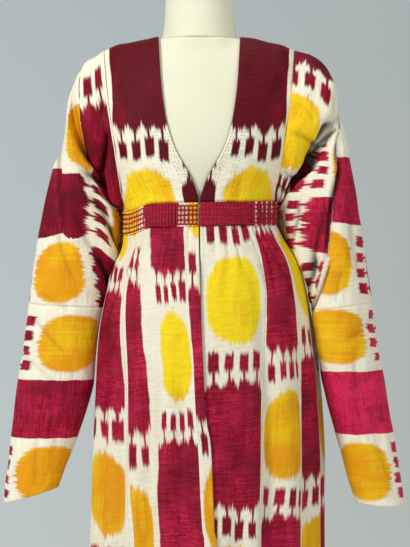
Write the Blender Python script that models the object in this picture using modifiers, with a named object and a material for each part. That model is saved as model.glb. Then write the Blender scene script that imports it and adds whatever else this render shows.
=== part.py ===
"""A woman's ikat robe with a smocked high waist, worn on a limbless dress form.

The robe is built as it is sewn. A body panel folds over the shoulders, a side panel
joins each of its edges, and each sleeve is two loom widths. Five skirt panels are
drawn up into a smocked heading. Each piece is a wall of even thickness, parted from
its neighbours at the seams. Metres, +Z up; the front faces -Y and the wearer's left
is +X; the origin is the centre of the stand's underside.
"""

import math

import bpy
import numpy as np

MM = 0.001

# Driving dimensions
CLOTH = 1.6 * MM
SEAM_GAP = 0.3 * MM
ROUNDNESS = 2.1                 # exponent of the body's and the skirt's sections
NECK_POINT_X = 67 * MM          # where the neckline crosses the shoulder line
SHOULDER_SEAM_X = 157 * MM      # where the side panel's seam crosses it
WAIST_SEAM_X = 122 * MM         # where the same seam meets the heading
WAIST_TOP = 1147 * MM           # heading's top edge at the centre
HEADING_HEIGHT = 38 * MM
WAIST_TILT = 0.02               # the heading rises a little towards the wearer's left
HEM = 180 * MM
FORM_CLEARANCE = 3.2 * MM       # body wall's outer face to the dress form, sides
SHOULDER_CLEARANCE = 2.6 * MM   # the same on top of the shoulders

# Mesh steps
BODY_ROWS = 12
SHOULDER_COLUMNS = 7
NECK_COLUMNS = 5
UNDERARM_STEPS = 2
FORM_SIDES = 28
HEADING_LEVELS = 4
STAND_SIDES = 32
TABLE_SAMPLES = 600             # points on a table's curve when it is read by height
SHARP_ANGLE = math.radians(50)  # edges sharper than this aren't shaded smooth

MAROON = (0.19, 0.012, 0.035, 1.0)
YELLOW = (0.78, 0.42, 0.02, 1.0)
CREAM = (0.76, 0.68, 0.52, 1.0)
FORM_COVER = (0.74, 0.70, 0.62, 1.0)
TURNED_WOOD = (0.30, 0.17, 0.08, 1.0)
PAINTED_IRON = (0.03, 0.03, 0.035, 1.0)
STEEL = (0.55, 0.55, 0.56, 1.0)


def columns(names, rows):
    """A table's columns by name, in metres."""
    values = np.array(rows, dtype=float) * MM
    return {name: values[:, place] for place, name in enumerate(names.split())}


# Sections of the clothed body, from the heading to the neck (mm), and its widest row
BODY = columns("z half_width front back", [
    (1100, 124, 101, 93),
    (1150, 126, 102, 93),
    (1180, 138, 107, 96),
    (1220, 155, 113, 101),
    (1260, 168, 114, 104),
    (1300, 176, 107, 104),
    (1340, 178, 94, 98),
    (1370, 172, 81, 91),
    (1390, 163, 70, 84),
    (1398, 157, 64, 79),
    (1406, 139, 59, 75),
    (1412, 115, 56, 72),
    (1417, 91, 54, 69),
    (1420, 67, 52, 67),
])
WIDEST_ROW = 6

# Sections of the dress form below the bust (mm)
HIPS = columns("z half_width front back", [
    (800, 120, 86, 90),
    (804, 127, 92, 96),
    (850, 136, 99, 106),
    (920, 139, 100, 109),
    (990, 133, 97, 102),
    (1050, 119, 92, 89),
    (1090, 115, 92, 84),
    (1130, 116, 94, 85),
    (1152, 119, 96, 87),
    (1180, 130, 101, 90),
])
FORM_BUST_ROW = 3               # first row of the body table that the form follows

# Half width of the neck opening, from the point of the V to the shoulder (mm)
NECKLINE = columns("z half_width", [
    (1140, 0.6),
    (1160, 3.5),
    (1190, 15),
    (1232, 38),
    (1270, 51),
    (1310, 58),
    (1347, 62),
    (1404, 66),
    (1420, 67),
])

# Seam between the body panel and the side panel (mm)
SIDE_SEAM = columns("z x", [
    (1140, 122),
    (1180, 128),
    (1220, 134),
    (1260, 140),
    (1300, 146),
    (1340, 151),
    (1398, 157),
])

# Sections of each sleeve from the side seam to the cuff: the outer (top) and inner
# (bottom) ends of a section, its half depth, how far forward it hangs, how far it
# bows outwards and how far its front ridge leans to the outer side (lean in mrad)
ARM_COLUMNS = "top_x top_z bottom_x bottom_z depth forward bow lean"
ARM_LEFT = columns(ARM_COLUMNS, [
    (157, 1398, 124, 1149, 66, 0, 0, 0),
    (183, 1390, 129, 1147, 66, 0, 6, 0),
    (205, 1375, 132, 1144, 62, 0, 12, 0),
    (218, 1351, 135, 1139, 58, 1, 17, 100),
    (231, 1298, 140, 1126, 57, 3, 12, 250),
    (243, 1235, 144, 1102, 56, 5, 4, 350),
    (254, 1172, 155, 1070, 54, 7, 0, 300),
    (266, 1100, 169, 1031, 52, 9, 0, 0),
    (284, 984, 186, 973, 49, 12, 0, -300),
    (296, 902, 195, 902, 47, 14, 0, -300),
    (304, 859, 202, 856, 45, 15, 0, -250),
    (317, 770, 223, 777, 41, 16, 0, -150),
    (327, 711, 239, 716, 38, 17, 0, -100),
    (335, 653, 257, 657, 36, 18, 0, 0),
])
ARM_RIGHT = columns(ARM_COLUMNS, [
    (157, 1398, 124, 1144, 66, 0, 0, 0),
    (173, 1386, 128, 1142, 66, 0, 7, 0),
    (188, 1378, 130, 1138, 62, 0, 15, 0),
    (198, 1357, 132, 1132, 57, 1, 22, 150),
    (213, 1318, 135, 1120, 55, 3, 16, 300),
    (223, 1258, 136, 1098, 53, 5, 6, 350),
    (239, 1202, 140, 1070, 50, 7, 0, 300),
    (261, 1105, 150, 1031, 45, 9, 0, 200),
    (279, 983, 162, 976, 40, 12, 0, 0),
    (290, 905, 171, 906, 37, 14, 0, 0),
    (297, 861, 175, 849, 36, 15, 0, 0),
    (307, 765, 201, 768, 34, 16, 0, 0),
    (314, 710, 223, 709, 32, 17, 0, 0),
    (320, 657, 232, 683, 31, 18, 0, 0),
])

# Rows of the arm tables where the pieces meet, and the rows that are modelled
SLEEVE_SEAM_ROW = 8.0
ARM_PIECES = {
    "side_panel_l": (0.0, 0.6, 1.3, 2.0, 2.5, 3.0),
    "sleeve_upper_l": (3.0, 3.4, 3.9, 4.4, 5.0, 5.8, 6.5, 7.2, SLEEVE_SEAM_ROW),
    "sleeve_lower_l": (SLEEVE_SEAM_ROW, 8.8, 9.7, 10.7, 11.8, 13.0),
    "side_panel_r": (0.0, 0.6, 1.2, 1.8, 2.4),
    "sleeve_upper_r": (2.4, 2.9, 3.4, 3.9, 4.4, 5.0, 5.8, 6.5, 7.2, SLEEVE_SEAM_ROW),
    "sleeve_lower_r": (SLEEVE_SEAM_ROW, 8.8, 9.7, 10.7, 11.8, 13.0),
}
SECTION_ROWS = 2.5              # rows in which the seam's shape turns into a section
EVEN_START_ROW = 3              # from here the points spread evenly round the section
EVEN_ROWS = 3                   # and over as many rows as this
BOW_AT_BOTTOM = 0.4             # how the bow's share of its size grows up the section
BOW_AT_TOP = 1.6
CREASE_ROW = 3.4                # where the fold between body and sleeve lies
CREASE_DEPTH = 0.30             # its depth, as a share of the section's
CREASE_SPREAD = 0.50            # its half width in table rows
UNDERARM_PHASE = math.radians(165)  # where on a section the foot of the side seam is

# Half widths and depths of the skirt, from the heading to the hem (mm)
SKIRT = columns("z right left front back", [
    (1108, 123, 125, 102, 94),
    (1085, 127, 137, 110, 102),
    (1050, 141, 159, 121, 113),
    (1000, 152, 176, 132, 124),
    (940, 164, 188, 142, 133),
    (860, 171, 200, 150, 142),
    (740, 178, 209, 157, 150),
    (580, 184, 210, 163, 157),
    (180, 200, 218, 176, 172),
])

# Troughs between the skirt's main folds: the angle from the centre front (positive to
# the wearer's left), the depth and spread of each at the hem, and where it starts
FOLD_NAMES = ("angle_deg", "depth_mm", "spread_deg", "start_mm")
FOLDS = [
    (-173, 15, 6.5, 1000),
    (-152, 21, 8.0, 1060),
    (-129, 13, 6.0, 960),
    (-108, 22, 8.5, 1050),
    (-86, 12, 6.0, 940),
    (-66, 17, 7.0, 1040),
    (-46, 14, 6.0, 1070),
    (-27, 17, 6.5, 1080),
    (-8, 10, 5.0, 1060),
    (17, 9, 6.0, 900),
    (33, 19, 6.0, 1080),
    (58, 16, 7.0, 1040),
    (82, 20, 8.0, 1060),
    (103, 12, 6.0, 930),
    (123, 22, 8.0, 1050),
    (146, 14, 6.5, 980),
    (167, 19, 7.0, 1060),
]
FOLD_FADE = 320 * MM

# Seams between the skirt's front and side panels: height (mm) and the angle from the
# centre front on each side (milliradians); more of the front is gathered at the sides
SKIRT_SEAMS = columns("z right left", [
    (1147, 1117, 716),
    (1108, 1117, 716),
    (1050, 977, 663),
    (920, 838, 590),
    (700, 698, 510),
    (580, 628, 480),
    (180, 540, 436),
])

# Skirt panels: edges (degrees from the centre front, or a seam), columns in the skirt
# and columns in the heading (two for each gather)
SKIRT_PANELS = [
    ("front_r", "right", -0.5, 16, 28),
    ("side_r", -145, "right", 22, 34),
    ("back", 140, 215, 18, 30),
    ("side_l", "left", 140, 26, 38),
    ("front_l", 0.5, "left", 10, 18),
]
SKIRT_LEVELS = (1, 0.982, 0.952, 0.905, 0.84, 0.75, 0.64, 0.5, 0.33, 0.16, 0)
GATHER_HEIGHT = 2.6 * MM
GATHER_END = 1010 * MM          # height at which the gathers below the heading end
SMOCKING_RELIEF = 2.2 * MM
STITCHED_SHARE = 0.35           # of the relief, left along the rows of stitches
SEAM_SHARE = 0.55               # of the seam gap, by which each of its sides draws back

# Front overlap: how far the wearer's right front passes the centre, and its lift
OVERLAP = columns("z x", [
    (180, 31),
    (580, 27),
    (640, 23),
    (760, 18),
    (820, 10),
    (990, 2),
    (1108, -1),
])
OVERLAP_LIFT = 5 * MM
OVERLAP_SPREAD = math.radians(16)
OVERLAP_GROWTH = 100 * MM       # distance below the heading in which the lift grows

# Turned pieces of the form's stand: radius and height, from the top down (mm)
NECK_PROFILE = [
    (0, 1506), (55, 1506), (56.5, 1503), (56, 1480), (57, 1455), (59, 1434),
    (61.5, 1421), (62, 1418.1), (0, 1418.1),
]
CAP_PROFILE = [
    (0, 1546), (7, 1545), (12, 1540), (13, 1534), (9, 1528), (7, 1523), (12, 1520),
    (50, 1518), (55, 1514), (55, 1510), (52, 1506.3), (0, 1506.3),
]
POLE_PROFILE = [(0, 799.7), (14, 799.7), (14, 42.3), (0, 42.3)]
BASE_PROFILE = [
    (0, 42), (24, 42), (27, 38), (28, 20), (38, 12), (150, 9), (172, 6.5), (176, 3),
    (176, 0), (0, 0),
]


def clear_scene():
    for item in list(bpy.data.objects):
        bpy.data.objects.remove(item, do_unlink=True)


def new_collection(name):
    collection = bpy.data.collections.new(name)
    bpy.context.scene.collection.children.link(collection)
    return collection


def material(name, colour, roughness, metallic=0.0):
    made = bpy.data.materials.new(name)
    made.use_nodes = True
    shader = made.node_tree.nodes["Principled BSDF"]
    shader.inputs["Base Color"].default_value = colour
    shader.inputs["Roughness"].default_value = roughness
    shader.inputs["Metallic"].default_value = metallic
    return made


def smooth_step(value):
    value = np.clip(value, 0.0, 1.0)
    return value * value * (3 - 2 * value)


def along(column, row):
    """A column's value at fractional rows, on a smooth curve through its rows."""
    row = np.clip(np.asarray(row, dtype=float), 0, len(column) - 1)
    slope = np.gradient(column)
    start = np.minimum(row.astype(int), len(column) - 2)
    part = row - start
    left = column[start] * (1 + 2 * part) * (1 - part) ** 2
    right = column[start + 1] * part ** 2 * (3 - 2 * part)
    lean_out = slope[start] * part * (1 - part) ** 2
    lean_in = slope[start + 1] * part ** 2 * (1 - part)
    return left + right + lean_out - lean_in


def at_height(table, name, height):
    """A column's value at a height; the table's rows go up or down in z."""
    rows = np.linspace(0, len(table["z"]) - 1, TABLE_SAMPLES)
    heights = along(table["z"], rows)
    values = along(table[name], rows)
    if heights[0] > heights[-1]:
        heights = heights[::-1]
        values = values[::-1]
    return np.interp(height, heights, values)


def signed_power(value, power):
    return np.sign(value) * np.abs(value) ** power


def waist_height(x):
    """Top edge of the heading."""
    return WAIST_TOP + WAIST_TILT * x


def body_depth(x, z, face):
    """How far the clothed body's front or back lies from the shoulder line."""
    share = np.clip(np.abs(x) / at_height(BODY, "half_width", z), 0, 1)
    reach = at_height(BODY, face, z)
    return reach * (1 - share ** ROUNDNESS) ** (1 / ROUNDNESS)


def shoulder_height(x):
    """Height of the shoulder line at a distance from the neck."""
    rows = np.linspace(WIDEST_ROW, len(BODY["z"]) - 1, TABLE_SAMPLES)
    widths = along(BODY["half_width"], rows)
    heights = along(BODY["z"], rows)
    return float(np.interp(abs(x), widths[::-1], heights[::-1]))


def body_point(x, z, face):
    depth = float(body_depth(x, z, face))
    return (x, -depth if face == "front" else depth, z)


def rise(row):
    """Height share of a row of the body panel; rows crowd below the shoulder."""
    return math.sin(math.pi / 2 * row / BODY_ROWS)


def side_seam_point(side, row, face):
    """Edge that the body panel shares with the side panel."""
    foot = waist_height(side * WAIST_SEAM_X) + SEAM_GAP
    z = foot + (shoulder_height(SHOULDER_SEAM_X) - foot) * rise(row)
    x = float(at_height(SIDE_SEAM, "x", z)) if row < BODY_ROWS else SHOULDER_SEAM_X
    return body_point(side * x, z, face)


def front_point(side, column, row):
    """Front of the body panel: columns from the neckline to the side seam."""
    share = column / SHOULDER_COLUMNS
    inner_foot = waist_height(0) + SEAM_GAP
    inner_z = inner_foot + (shoulder_height(NECK_POINT_X) - inner_foot) * rise(row)
    inner_x = float(at_height(NECKLINE, "half_width", inner_z))
    outer_x = abs(side_seam_point(side, row, "front")[0])
    x = side * (inner_x + (outer_x - inner_x) * share)
    top_x = NECK_POINT_X + (SHOULDER_SEAM_X - NECK_POINT_X) * share
    foot = waist_height(side * WAIST_SEAM_X * share) + SEAM_GAP
    z = foot + (shoulder_height(top_x) - foot) * rise(row)
    return body_point(x, z, "front")


def back_point(column, row):
    """Back of the body panel: columns from the right side seam to the left one."""
    reach = NECK_COLUMNS + SHOULDER_COLUMNS
    offset = column - reach
    side = -1 if offset < 0 else 1
    steps = abs(offset)
    if steps <= NECK_COLUMNS:
        top_x = NECK_POINT_X * steps / NECK_COLUMNS
    else:
        share = (steps - NECK_COLUMNS) / SHOULDER_COLUMNS
        top_x = NECK_POINT_X + (SHOULDER_SEAM_X - NECK_POINT_X) * share
    top_z = shoulder_height(max(top_x, NECK_POINT_X))
    foot_x = WAIST_SEAM_X * steps / reach
    seam_x = abs(side_seam_point(side, row, "back")[0])
    blend = rise(row)
    x = foot_x + (top_x - foot_x) * blend
    x += (seam_x - (WAIST_SEAM_X + (SHOULDER_SEAM_X - WAIST_SEAM_X) * blend)) * steps / reach
    foot = waist_height(side * foot_x) + SEAM_GAP
    z = foot + (top_z - foot) * blend
    return body_point(side * x, z, "back")


def armhole_ring(side):
    """Closed seam round the side panel's inner edge: over the shoulder, down the
    front, along the heading and up the back, with each point's phase on a section."""
    ring = []
    rows = list(range(BODY_ROWS, -1, -1))
    foot_share = (1 + math.cos(UNDERARM_PHASE)) / 2
    for row in rows:
        share = foot_share + (1 - foot_share) * rise(row)
        ring.append((side_seam_point(side, row, "front"), math.acos(2 * share - 1)))
    front_foot = ring[-1][0]
    for step in range(1, UNDERARM_STEPS):
        y = front_foot[1] * math.cos(math.pi * step / UNDERARM_STEPS)
        bulge = math.sin(math.pi * step / UNDERARM_STEPS)
        x = side * (WAIST_SEAM_X + (BODY["half_width"][1] - WAIST_SEAM_X) * bulge)
        phase = UNDERARM_PHASE + (2 * math.pi - 2 * UNDERARM_PHASE) * step / UNDERARM_STEPS
        ring.append(((x, y, waist_height(x) + SEAM_GAP), phase))
    for row in reversed(rows[1:]):
        share = foot_share + (1 - foot_share) * rise(row)
        phase = 2 * math.pi - math.acos(2 * share - 1)
        ring.append((side_seam_point(side, row, "back"), phase))
    return ring


def crease(row, phase):
    """Share of the section's depth taken by the fold between body and sleeve."""
    nearness = math.exp(-((row - CREASE_ROW) / CREASE_SPREAD) ** 2)
    return CREASE_DEPTH * nearness * math.sin(phase) ** 2


def section_point(table, side, row, phase):
    """A point of a sleeve's section: a leaning ellipse between its two ends."""
    top = (float(along(table["top_x"], row)), float(along(table["top_z"], row)))
    bottom = (float(along(table["bottom_x"], row)), float(along(table["bottom_z"], row)))
    lean = float(along(table["lean"], row)) / MM / 1000
    share = 0.5 + 0.5 * math.cos(phase - lean)
    uneven = BOW_AT_BOTTOM + (BOW_AT_TOP - BOW_AT_BOTTOM) * share
    bow = float(along(table["bow"], row)) * 4 * share * (1 - share) * uneven
    length = math.hypot(top[0] - bottom[0], top[1] - bottom[1])
    across = ((top[1] - bottom[1]) / length, -(top[0] - bottom[0]) / length)
    x = bottom[0] + (top[0] - bottom[0]) * share + across[0] * bow
    z = bottom[1] + (top[1] - bottom[1]) * share + across[1] * bow
    depth = float(along(table["depth"], row)) * (1 - crease(row, phase))
    y = -float(along(table["forward"], row)) - depth * math.sin(phase)
    return (side * x, y, z)


def arm_point(table, side, row, place, ring):
    """Side panel and sleeve: the armhole's shape turns into the sleeve's sections."""
    seam_point, seam_phase = ring[place]
    even_phase = 2 * math.pi * place / len(ring)
    evenness = float(smooth_step((row - EVEN_START_ROW) / EVEN_ROWS))
    phase = seam_phase + (even_phase - seam_phase) * evenness
    share = 0.5 + 0.5 * math.cos(phase)
    shift_x = 0.0
    shift_z = 0.0
    for end, weight in (("top", share), ("bottom", 1 - share)):
        shift_x += weight * (float(along(table[end + "_x"], row)) - table[end + "_x"][0])
        shift_z += weight * (float(along(table[end + "_z"], row)) - table[end + "_z"][0])
    start = np.array(seam_point) + np.array((side * shift_x, 0, shift_z))
    section = np.array(section_point(table, side, row, phase))
    blend = float(smooth_step(row / SECTION_ROWS))
    return start + (section - start) * blend


class Shell:
    """Quads of a garment's surface that share points; each belongs to a piece."""

    def __init__(self):
        self.points = []
        self.places = {}
        self.faces = []
        self.pieces = []

    def place(self, point):
        key = tuple(round(float(value), 6) for value in point)
        if key not in self.places:
            self.places[key] = len(self.points)
            self.points.append(key)
        return self.places[key]

    def add_grid(self, rows, piece, flip=False):
        """Quads through rows of points; flip turns their outer side over."""
        indices = [[self.place(point) for point in row] for row in rows]
        for lower, upper in zip(indices, indices[1:]):
            for step in range(len(lower) - 1):
                face = [lower[step], lower[step + 1], upper[step + 1], upper[step]]
                self.faces.append(face[::-1] if flip else face)
                self.pieces.append(piece)

    def inner_points(self):
        """Points of the inner side: each point moved in along its normal."""
        points = np.array(self.points)
        normals = np.zeros_like(points)
        for face in self.faces:
            first = points[face[2]] - points[face[0]]
            second = points[face[3]] - points[face[1]]
            normals[face] += np.cross(first, second)
        normals /= np.linalg.norm(normals, axis=1)[:, None]
        return points - normals * CLOTH

    def parted(self, inner):
        """Outer points, inner points and faces of each piece, parted at its seams."""
        points = np.array(self.points)
        owners = {}
        for face, piece in zip(self.faces, self.pieces):
            for index in face:
                owners.setdefault(index, set()).add(piece)
        result = {}
        for piece in dict.fromkeys(self.pieces):
            faces = [face for face, owner in zip(self.faces, self.pieces) if owner == piece]
            pull = np.zeros_like(points)
            for face in faces:
                pull[face] += points[face].mean(axis=0) - points[face]
            length = np.linalg.norm(pull, axis=1)[:, None]
            pull = pull / np.where(length > 0, length, 1) * SEAM_GAP * SEAM_SHARE
            at_seam = np.array([len(owners[i]) > 1 for i in range(len(points))])[:, None]
            result[piece] = (points + pull * at_seam, inner + pull * at_seam, faces)
        return result


def rim(start, end, count):
    """Two triangles from an outer edge to its inner one. Their diagonal starts at the
    same end for both neighbours of a seam, so a twisted rim keeps the seam's gap."""
    if start < end:
        return [[end, start, end + count], [start, start + count, end + count]]
    return [[end, start, start + count], [end, start + count, end + count]]


def cloth_wall(name, outer, inner, faces, finish, collection):
    """A closed wall: the outer faces, the inner ones and a rim along each free edge."""
    used = sorted({index for face in faces for index in face})
    new_place = {index: place for place, index in enumerate(used)}
    faces = [[new_place[index] for index in face] for face in faces]
    count = len(used)
    points = [tuple(outer[index]) for index in used] + [tuple(inner[index]) for index in used]
    edges = {(face[i], face[(i + 1) % 4]) for face in faces for i in range(4)}
    wall = list(faces)
    wall += [[index + count for index in reversed(face)] for face in faces]
    for start, end in sorted(edges):
        if (end, start) not in edges:
            wall += rim(start, end, count)
    mesh = bpy.data.meshes.new(name)
    mesh.from_pydata(points, [], wall)
    mesh.shade_smooth()
    mesh.set_sharp_from_angle(angle=SHARP_ANGLE)
    mesh.materials.append(finish)
    made = bpy.data.objects.new(name, mesh)
    collection.objects.link(made)
    return made


def upper_shell():
    """Body panel, side panels and sleeves as one surface."""
    shell = Shell()
    for side in (1, -1):
        rows = [[front_point(side, column, row) for column in range(SHOULDER_COLUMNS + 1)]
                for row in range(BODY_ROWS + 1)]
        shell.add_grid(rows, "body_panel", flip=side < 0)
    back_columns = 2 * (NECK_COLUMNS + SHOULDER_COLUMNS) + 1
    rows = [[back_point(column, row) for column in range(back_columns)]
            for row in range(BODY_ROWS + 1)]
    shell.add_grid(rows, "body_panel", flip=True)
    for side, suffix, table in ((1, "_l", ARM_LEFT), (-1, "_r", ARM_RIGHT)):
        ring = armhole_ring(side)
        places = list(range(len(ring))) + [0]
        for piece, levels in ARM_PIECES.items():
            if piece.endswith(suffix):
                rows = [[arm_point(table, side, level, place, ring) for place in places]
                        for level in levels]
                shell.add_grid(rows, piece, flip=side < 0)
    return shell


def skirt_section(angle, height):
    """A point of the skirt's plain section; the angle is from the centre front."""
    side = "left" if math.sin(angle) >= 0 else "right"
    face = "front" if math.cos(angle) >= 0 else "back"
    power = 2 / ROUNDNESS
    x = at_height(SKIRT, side, height) * signed_power(math.sin(angle), power)
    y = -at_height(SKIRT, face, height) * signed_power(math.cos(angle), power)
    return np.array((float(x), float(y)))


def fold_depth(angle, height):
    """How far the folds draw the skirt in."""
    depth = 0.0
    for values in FOLDS:
        fold = dict(zip(FOLD_NAMES, values))
        turn = math.degrees(angle) - fold["angle_deg"]
        turn = (turn + 180) % 360 - 180
        grown = float(smooth_step((fold["start_mm"] * MM - height) / FOLD_FADE))
        depth += fold["depth_mm"] * MM * grown * math.exp(-(turn / fold["spread_deg"]) ** 2)
    return depth


def skirt_point(angle, height, gather, lift):
    """A point of the skirt with its folds, its gathers and the front's overlap."""
    section = skirt_section(angle, height)
    radius = np.linalg.norm(section)
    fade = float(smooth_step((height - GATHER_END) / (SKIRT["z"][0] - GATHER_END)))
    radius_now = radius - fold_depth(angle, height) + gather * GATHER_HEIGHT * fade + lift
    section = section * (radius_now / radius)
    foot_share = (height - HEM) / (SKIRT["z"][0] - HEM)
    return (section[0], section[1], height + WAIST_TILT * section[0] * foot_share)


def panel_edge(edge, height):
    """Angle of a skirt panel's edge at a height."""
    if edge == "right":
        return -float(at_height(SKIRT_SEAMS, edge, height))
    if edge == "left":
        return float(at_height(SKIRT_SEAMS, edge, height))
    return math.radians(edge)


def overlap_edge(height):
    """Angle of the wearer's right front edge, which laps over the left one."""
    reach = float(at_height(OVERLAP, "x", height)) / float(at_height(SKIRT, "left", height))
    return math.asin(signed_power(reach, ROUNDNESS / 2))


def skirt_shell():
    """The five skirt panels as one surface, open at the centre front."""
    shell = Shell()
    top = WAIST_TOP - HEADING_HEIGHT - SEAM_GAP
    for name, start, end, count, _ in SKIRT_PANELS:
        rows = []
        for level in SKIRT_LEVELS:
            height = HEM + (top - HEM) * level
            first = panel_edge(start, height)
            last = panel_edge(end, height)
            if name == "front_r":
                last = overlap_edge(height)
            row = []
            for step in range(count + 1):
                angle = first + (last - first) * step / count
                gather = 1 if step % 2 else -1
                lift = 0.0
                if name == "front_r":
                    nearness = float(smooth_step(1 + (angle - last) / OVERLAP_SPREAD))
                    grown = float(smooth_step((top - height) / OVERLAP_GROWTH))
                    lift = OVERLAP_LIFT * nearness * grown
                row.append(skirt_point(angle, height, gather, lift))
            rows.append(row)
        shell.add_grid(rows, "skirt_" + name, flip=True)
    return shell


def heading_point(angle, level, relief):
    """A point of the heading; the relief stands out from its plain section."""
    section = skirt_section(angle, float(SKIRT["z"][0]))
    radius = np.linalg.norm(section)
    section = section * ((radius + relief) / radius)
    height = WAIST_TOP - HEADING_HEIGHT * level + WAIST_TILT * section[0]
    return (section[0], section[1], height)


def heading_shell():
    """The smocked heading: puffs between the stitch rows, over a plain inside."""
    shell = Shell()
    plain = {}
    for name, start, end, _, count in SKIRT_PANELS:
        rows = []
        first = panel_edge(start, WAIST_TOP)
        last = panel_edge(end, WAIST_TOP)
        for level in range(HEADING_LEVELS + 1):
            row = []
            for step in range(count + 1):
                angle = first + (last - first) * step / count
                puff = 1.0 if level % 2 else STITCHED_SHARE
                relief = SMOCKING_RELIEF * puff if step % 2 else 0.0
                point = heading_point(angle, level / HEADING_LEVELS, relief)
                row.append(point)
                inside = heading_point(angle, level / HEADING_LEVELS, -CLOTH)
                plain[shell.place(point)] = inside
            rows.append(row)
        shell.add_grid(rows, "heading_" + name, flip=True)
    return shell, np.array([plain[index] for index in range(len(shell.points))])


def build_robe(collection):
    finishes = {
        "body_panel": material("ikat_maroon", MAROON, 0.5),
        "side_panel": material("ikat_cream", CREAM, 0.5),
        "sleeve_upper": material("ikat_yellow", YELLOW, 0.5),
        "sleeve_lower": material("ikat_rose", MAROON, 0.45),
        "skirt": material("ikat_skirt", CREAM, 0.45),
        "heading": material("ikat_heading", MAROON, 0.55),
    }
    upper = upper_shell()
    skirt = skirt_shell()
    heading, heading_inside = heading_shell()
    for shell, inner in (
        (upper, upper.inner_points()),
        (skirt, skirt.inner_points()),
        (heading, heading_inside),
    ):
        for name, (outer, inside, faces) in shell.parted(inner).items():
            kind = next(key for key in finishes if name.startswith(key))
            cloth_wall(name, outer, inside, faces, finishes[kind], collection)


def form_sections():
    """The dress form's sections: its hips, then the clothed body less a clearance."""
    names = ("z", "half_width", "front", "back")
    rows = [tuple(float(HIPS[name][i]) for name in names) for i in range(len(HIPS["z"]))]
    for i in range(FORM_BUST_ROW, len(BODY["z"])):
        z, width, front, back = (float(BODY[name][i]) for name in names)
        rows.append((
            z - SHOULDER_CLEARANCE,
            width - FORM_CLEARANCE,
            front - FORM_CLEARANCE,
            back - FORM_CLEARANCE,
        ))
    return rows


def build_torso(finish, collection):
    """A loft through the form's sections, closed flat at the hips and the neck."""
    points = []
    power = 2 / ROUNDNESS
    sections = form_sections()
    for z, width, front, back in sections:
        for step in range(FORM_SIDES):
            turn = 2 * math.pi * step / FORM_SIDES
            depth = front if math.cos(turn) >= 0 else back
            x = width * float(signed_power(math.sin(turn), power))
            y = -depth * float(signed_power(math.cos(turn), power))
            points.append((x, y, z))
    faces = []
    for level in range(len(sections) - 1):
        for step in range(FORM_SIDES):
            after = (step + 1) % FORM_SIDES
            low = level * FORM_SIDES
            high = low + FORM_SIDES
            faces.append([low + step, low + after, high + after, high + step])
    last = (len(sections) - 1) * FORM_SIDES
    faces.append(list(reversed(range(FORM_SIDES))))
    faces.append(list(range(last, last + FORM_SIDES)))
    mesh = bpy.data.meshes.new("form_torso")
    mesh.from_pydata(points, [], faces)
    mesh.shade_smooth()
    mesh.set_sharp_from_angle(angle=SHARP_ANGLE)
    mesh.materials.append(finish)
    collection.objects.link(bpy.data.objects.new("form_torso", mesh))


def turned_piece(name, profile, finish, collection):
    """A profile of radius and height turned about the vertical axis."""
    mesh = bpy.data.meshes.new(name)
    points = [(radius * MM, 0, height * MM) for radius, height in profile]
    mesh.from_pydata(points, [(i, i + 1) for i in range(len(points) - 1)], [])
    mesh.materials.append(finish)
    made = bpy.data.objects.new(name, mesh)
    collection.objects.link(made)
    screw = made.modifiers.new("turned", "SCREW")
    screw.axis = "Z"
    screw.angle = 2 * math.pi
    screw.steps = STAND_SIDES
    screw.render_steps = STAND_SIDES
    screw.use_merge_vertices = True
    screw.merge_threshold = 0.00005
    screw.use_smooth_shade = True
    return made


def build_form(collection):
    cover = material("form_cover", FORM_COVER, 0.75)
    build_torso(cover, collection)
    turned_piece("form_neck", NECK_PROFILE, cover, collection)
    turned_piece("form_cap", CAP_PROFILE, material("turned_wood", TURNED_WOOD, 0.35), collection)
    turned_piece("form_pole", POLE_PROFILE, material("pole_steel", STEEL, 0.3, 1.0), collection)
    iron = material("painted_iron", PAINTED_IRON, 0.45)
    turned_piece("form_base", BASE_PROFILE, iron, collection)


def main():
    clear_scene()
    collection = new_collection("ikat_robe_on_form")
    build_robe(collection)
    build_form(collection)


main()
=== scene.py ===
import math

import bmesh
import bpy
import numpy as np
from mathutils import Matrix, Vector


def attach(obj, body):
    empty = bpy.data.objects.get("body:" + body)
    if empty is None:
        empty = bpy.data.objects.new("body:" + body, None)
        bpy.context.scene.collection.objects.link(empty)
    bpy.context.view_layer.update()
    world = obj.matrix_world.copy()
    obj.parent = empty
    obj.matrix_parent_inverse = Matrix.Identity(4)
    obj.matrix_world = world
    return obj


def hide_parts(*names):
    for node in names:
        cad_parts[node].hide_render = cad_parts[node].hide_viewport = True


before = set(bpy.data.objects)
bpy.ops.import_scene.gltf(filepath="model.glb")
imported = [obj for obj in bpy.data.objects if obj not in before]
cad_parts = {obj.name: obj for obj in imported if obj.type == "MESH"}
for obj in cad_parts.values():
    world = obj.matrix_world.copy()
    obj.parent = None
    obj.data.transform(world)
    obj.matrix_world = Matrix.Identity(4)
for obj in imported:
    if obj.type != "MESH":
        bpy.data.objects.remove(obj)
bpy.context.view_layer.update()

MM = 0.001
TURN = 2 * math.pi

# ======== sizes of the garment
CLOTH = 1.2 * MM  # thickness of the cloth as it shows
ROUNDNESS = 2.1  # power of the rounded sections; 2 would be an ellipse
NECK_POINT_X = 67 * MM  # where the neckline meets the shoulder
SHOULDER_SEAM_X = 157 * MM  # the body panel's side seam at the shoulder
WAIST_SEAM_X = 122 * MM  # and at the waist
WAIST_TOP = 1147 * MM  # the heading's upper edge at the centre
HEADING_HEIGHT = 38 * MM
WAIST_TILT = 0.02  # the waist rises towards the wearer's left
HEM = 180 * MM
SEAM_GAP = 0.3 * MM
BODY_ROWS = 12  # steps from the waist up to the shoulder
UNDERARM_STEPS = 2  # steps under the arm, from front seam to back seam
UNDERARM_PHASE = math.radians(165)  # where they begin on the sleeve's section
RING = 2 * BODY_ROWS + UNDERARM_STEPS

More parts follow.
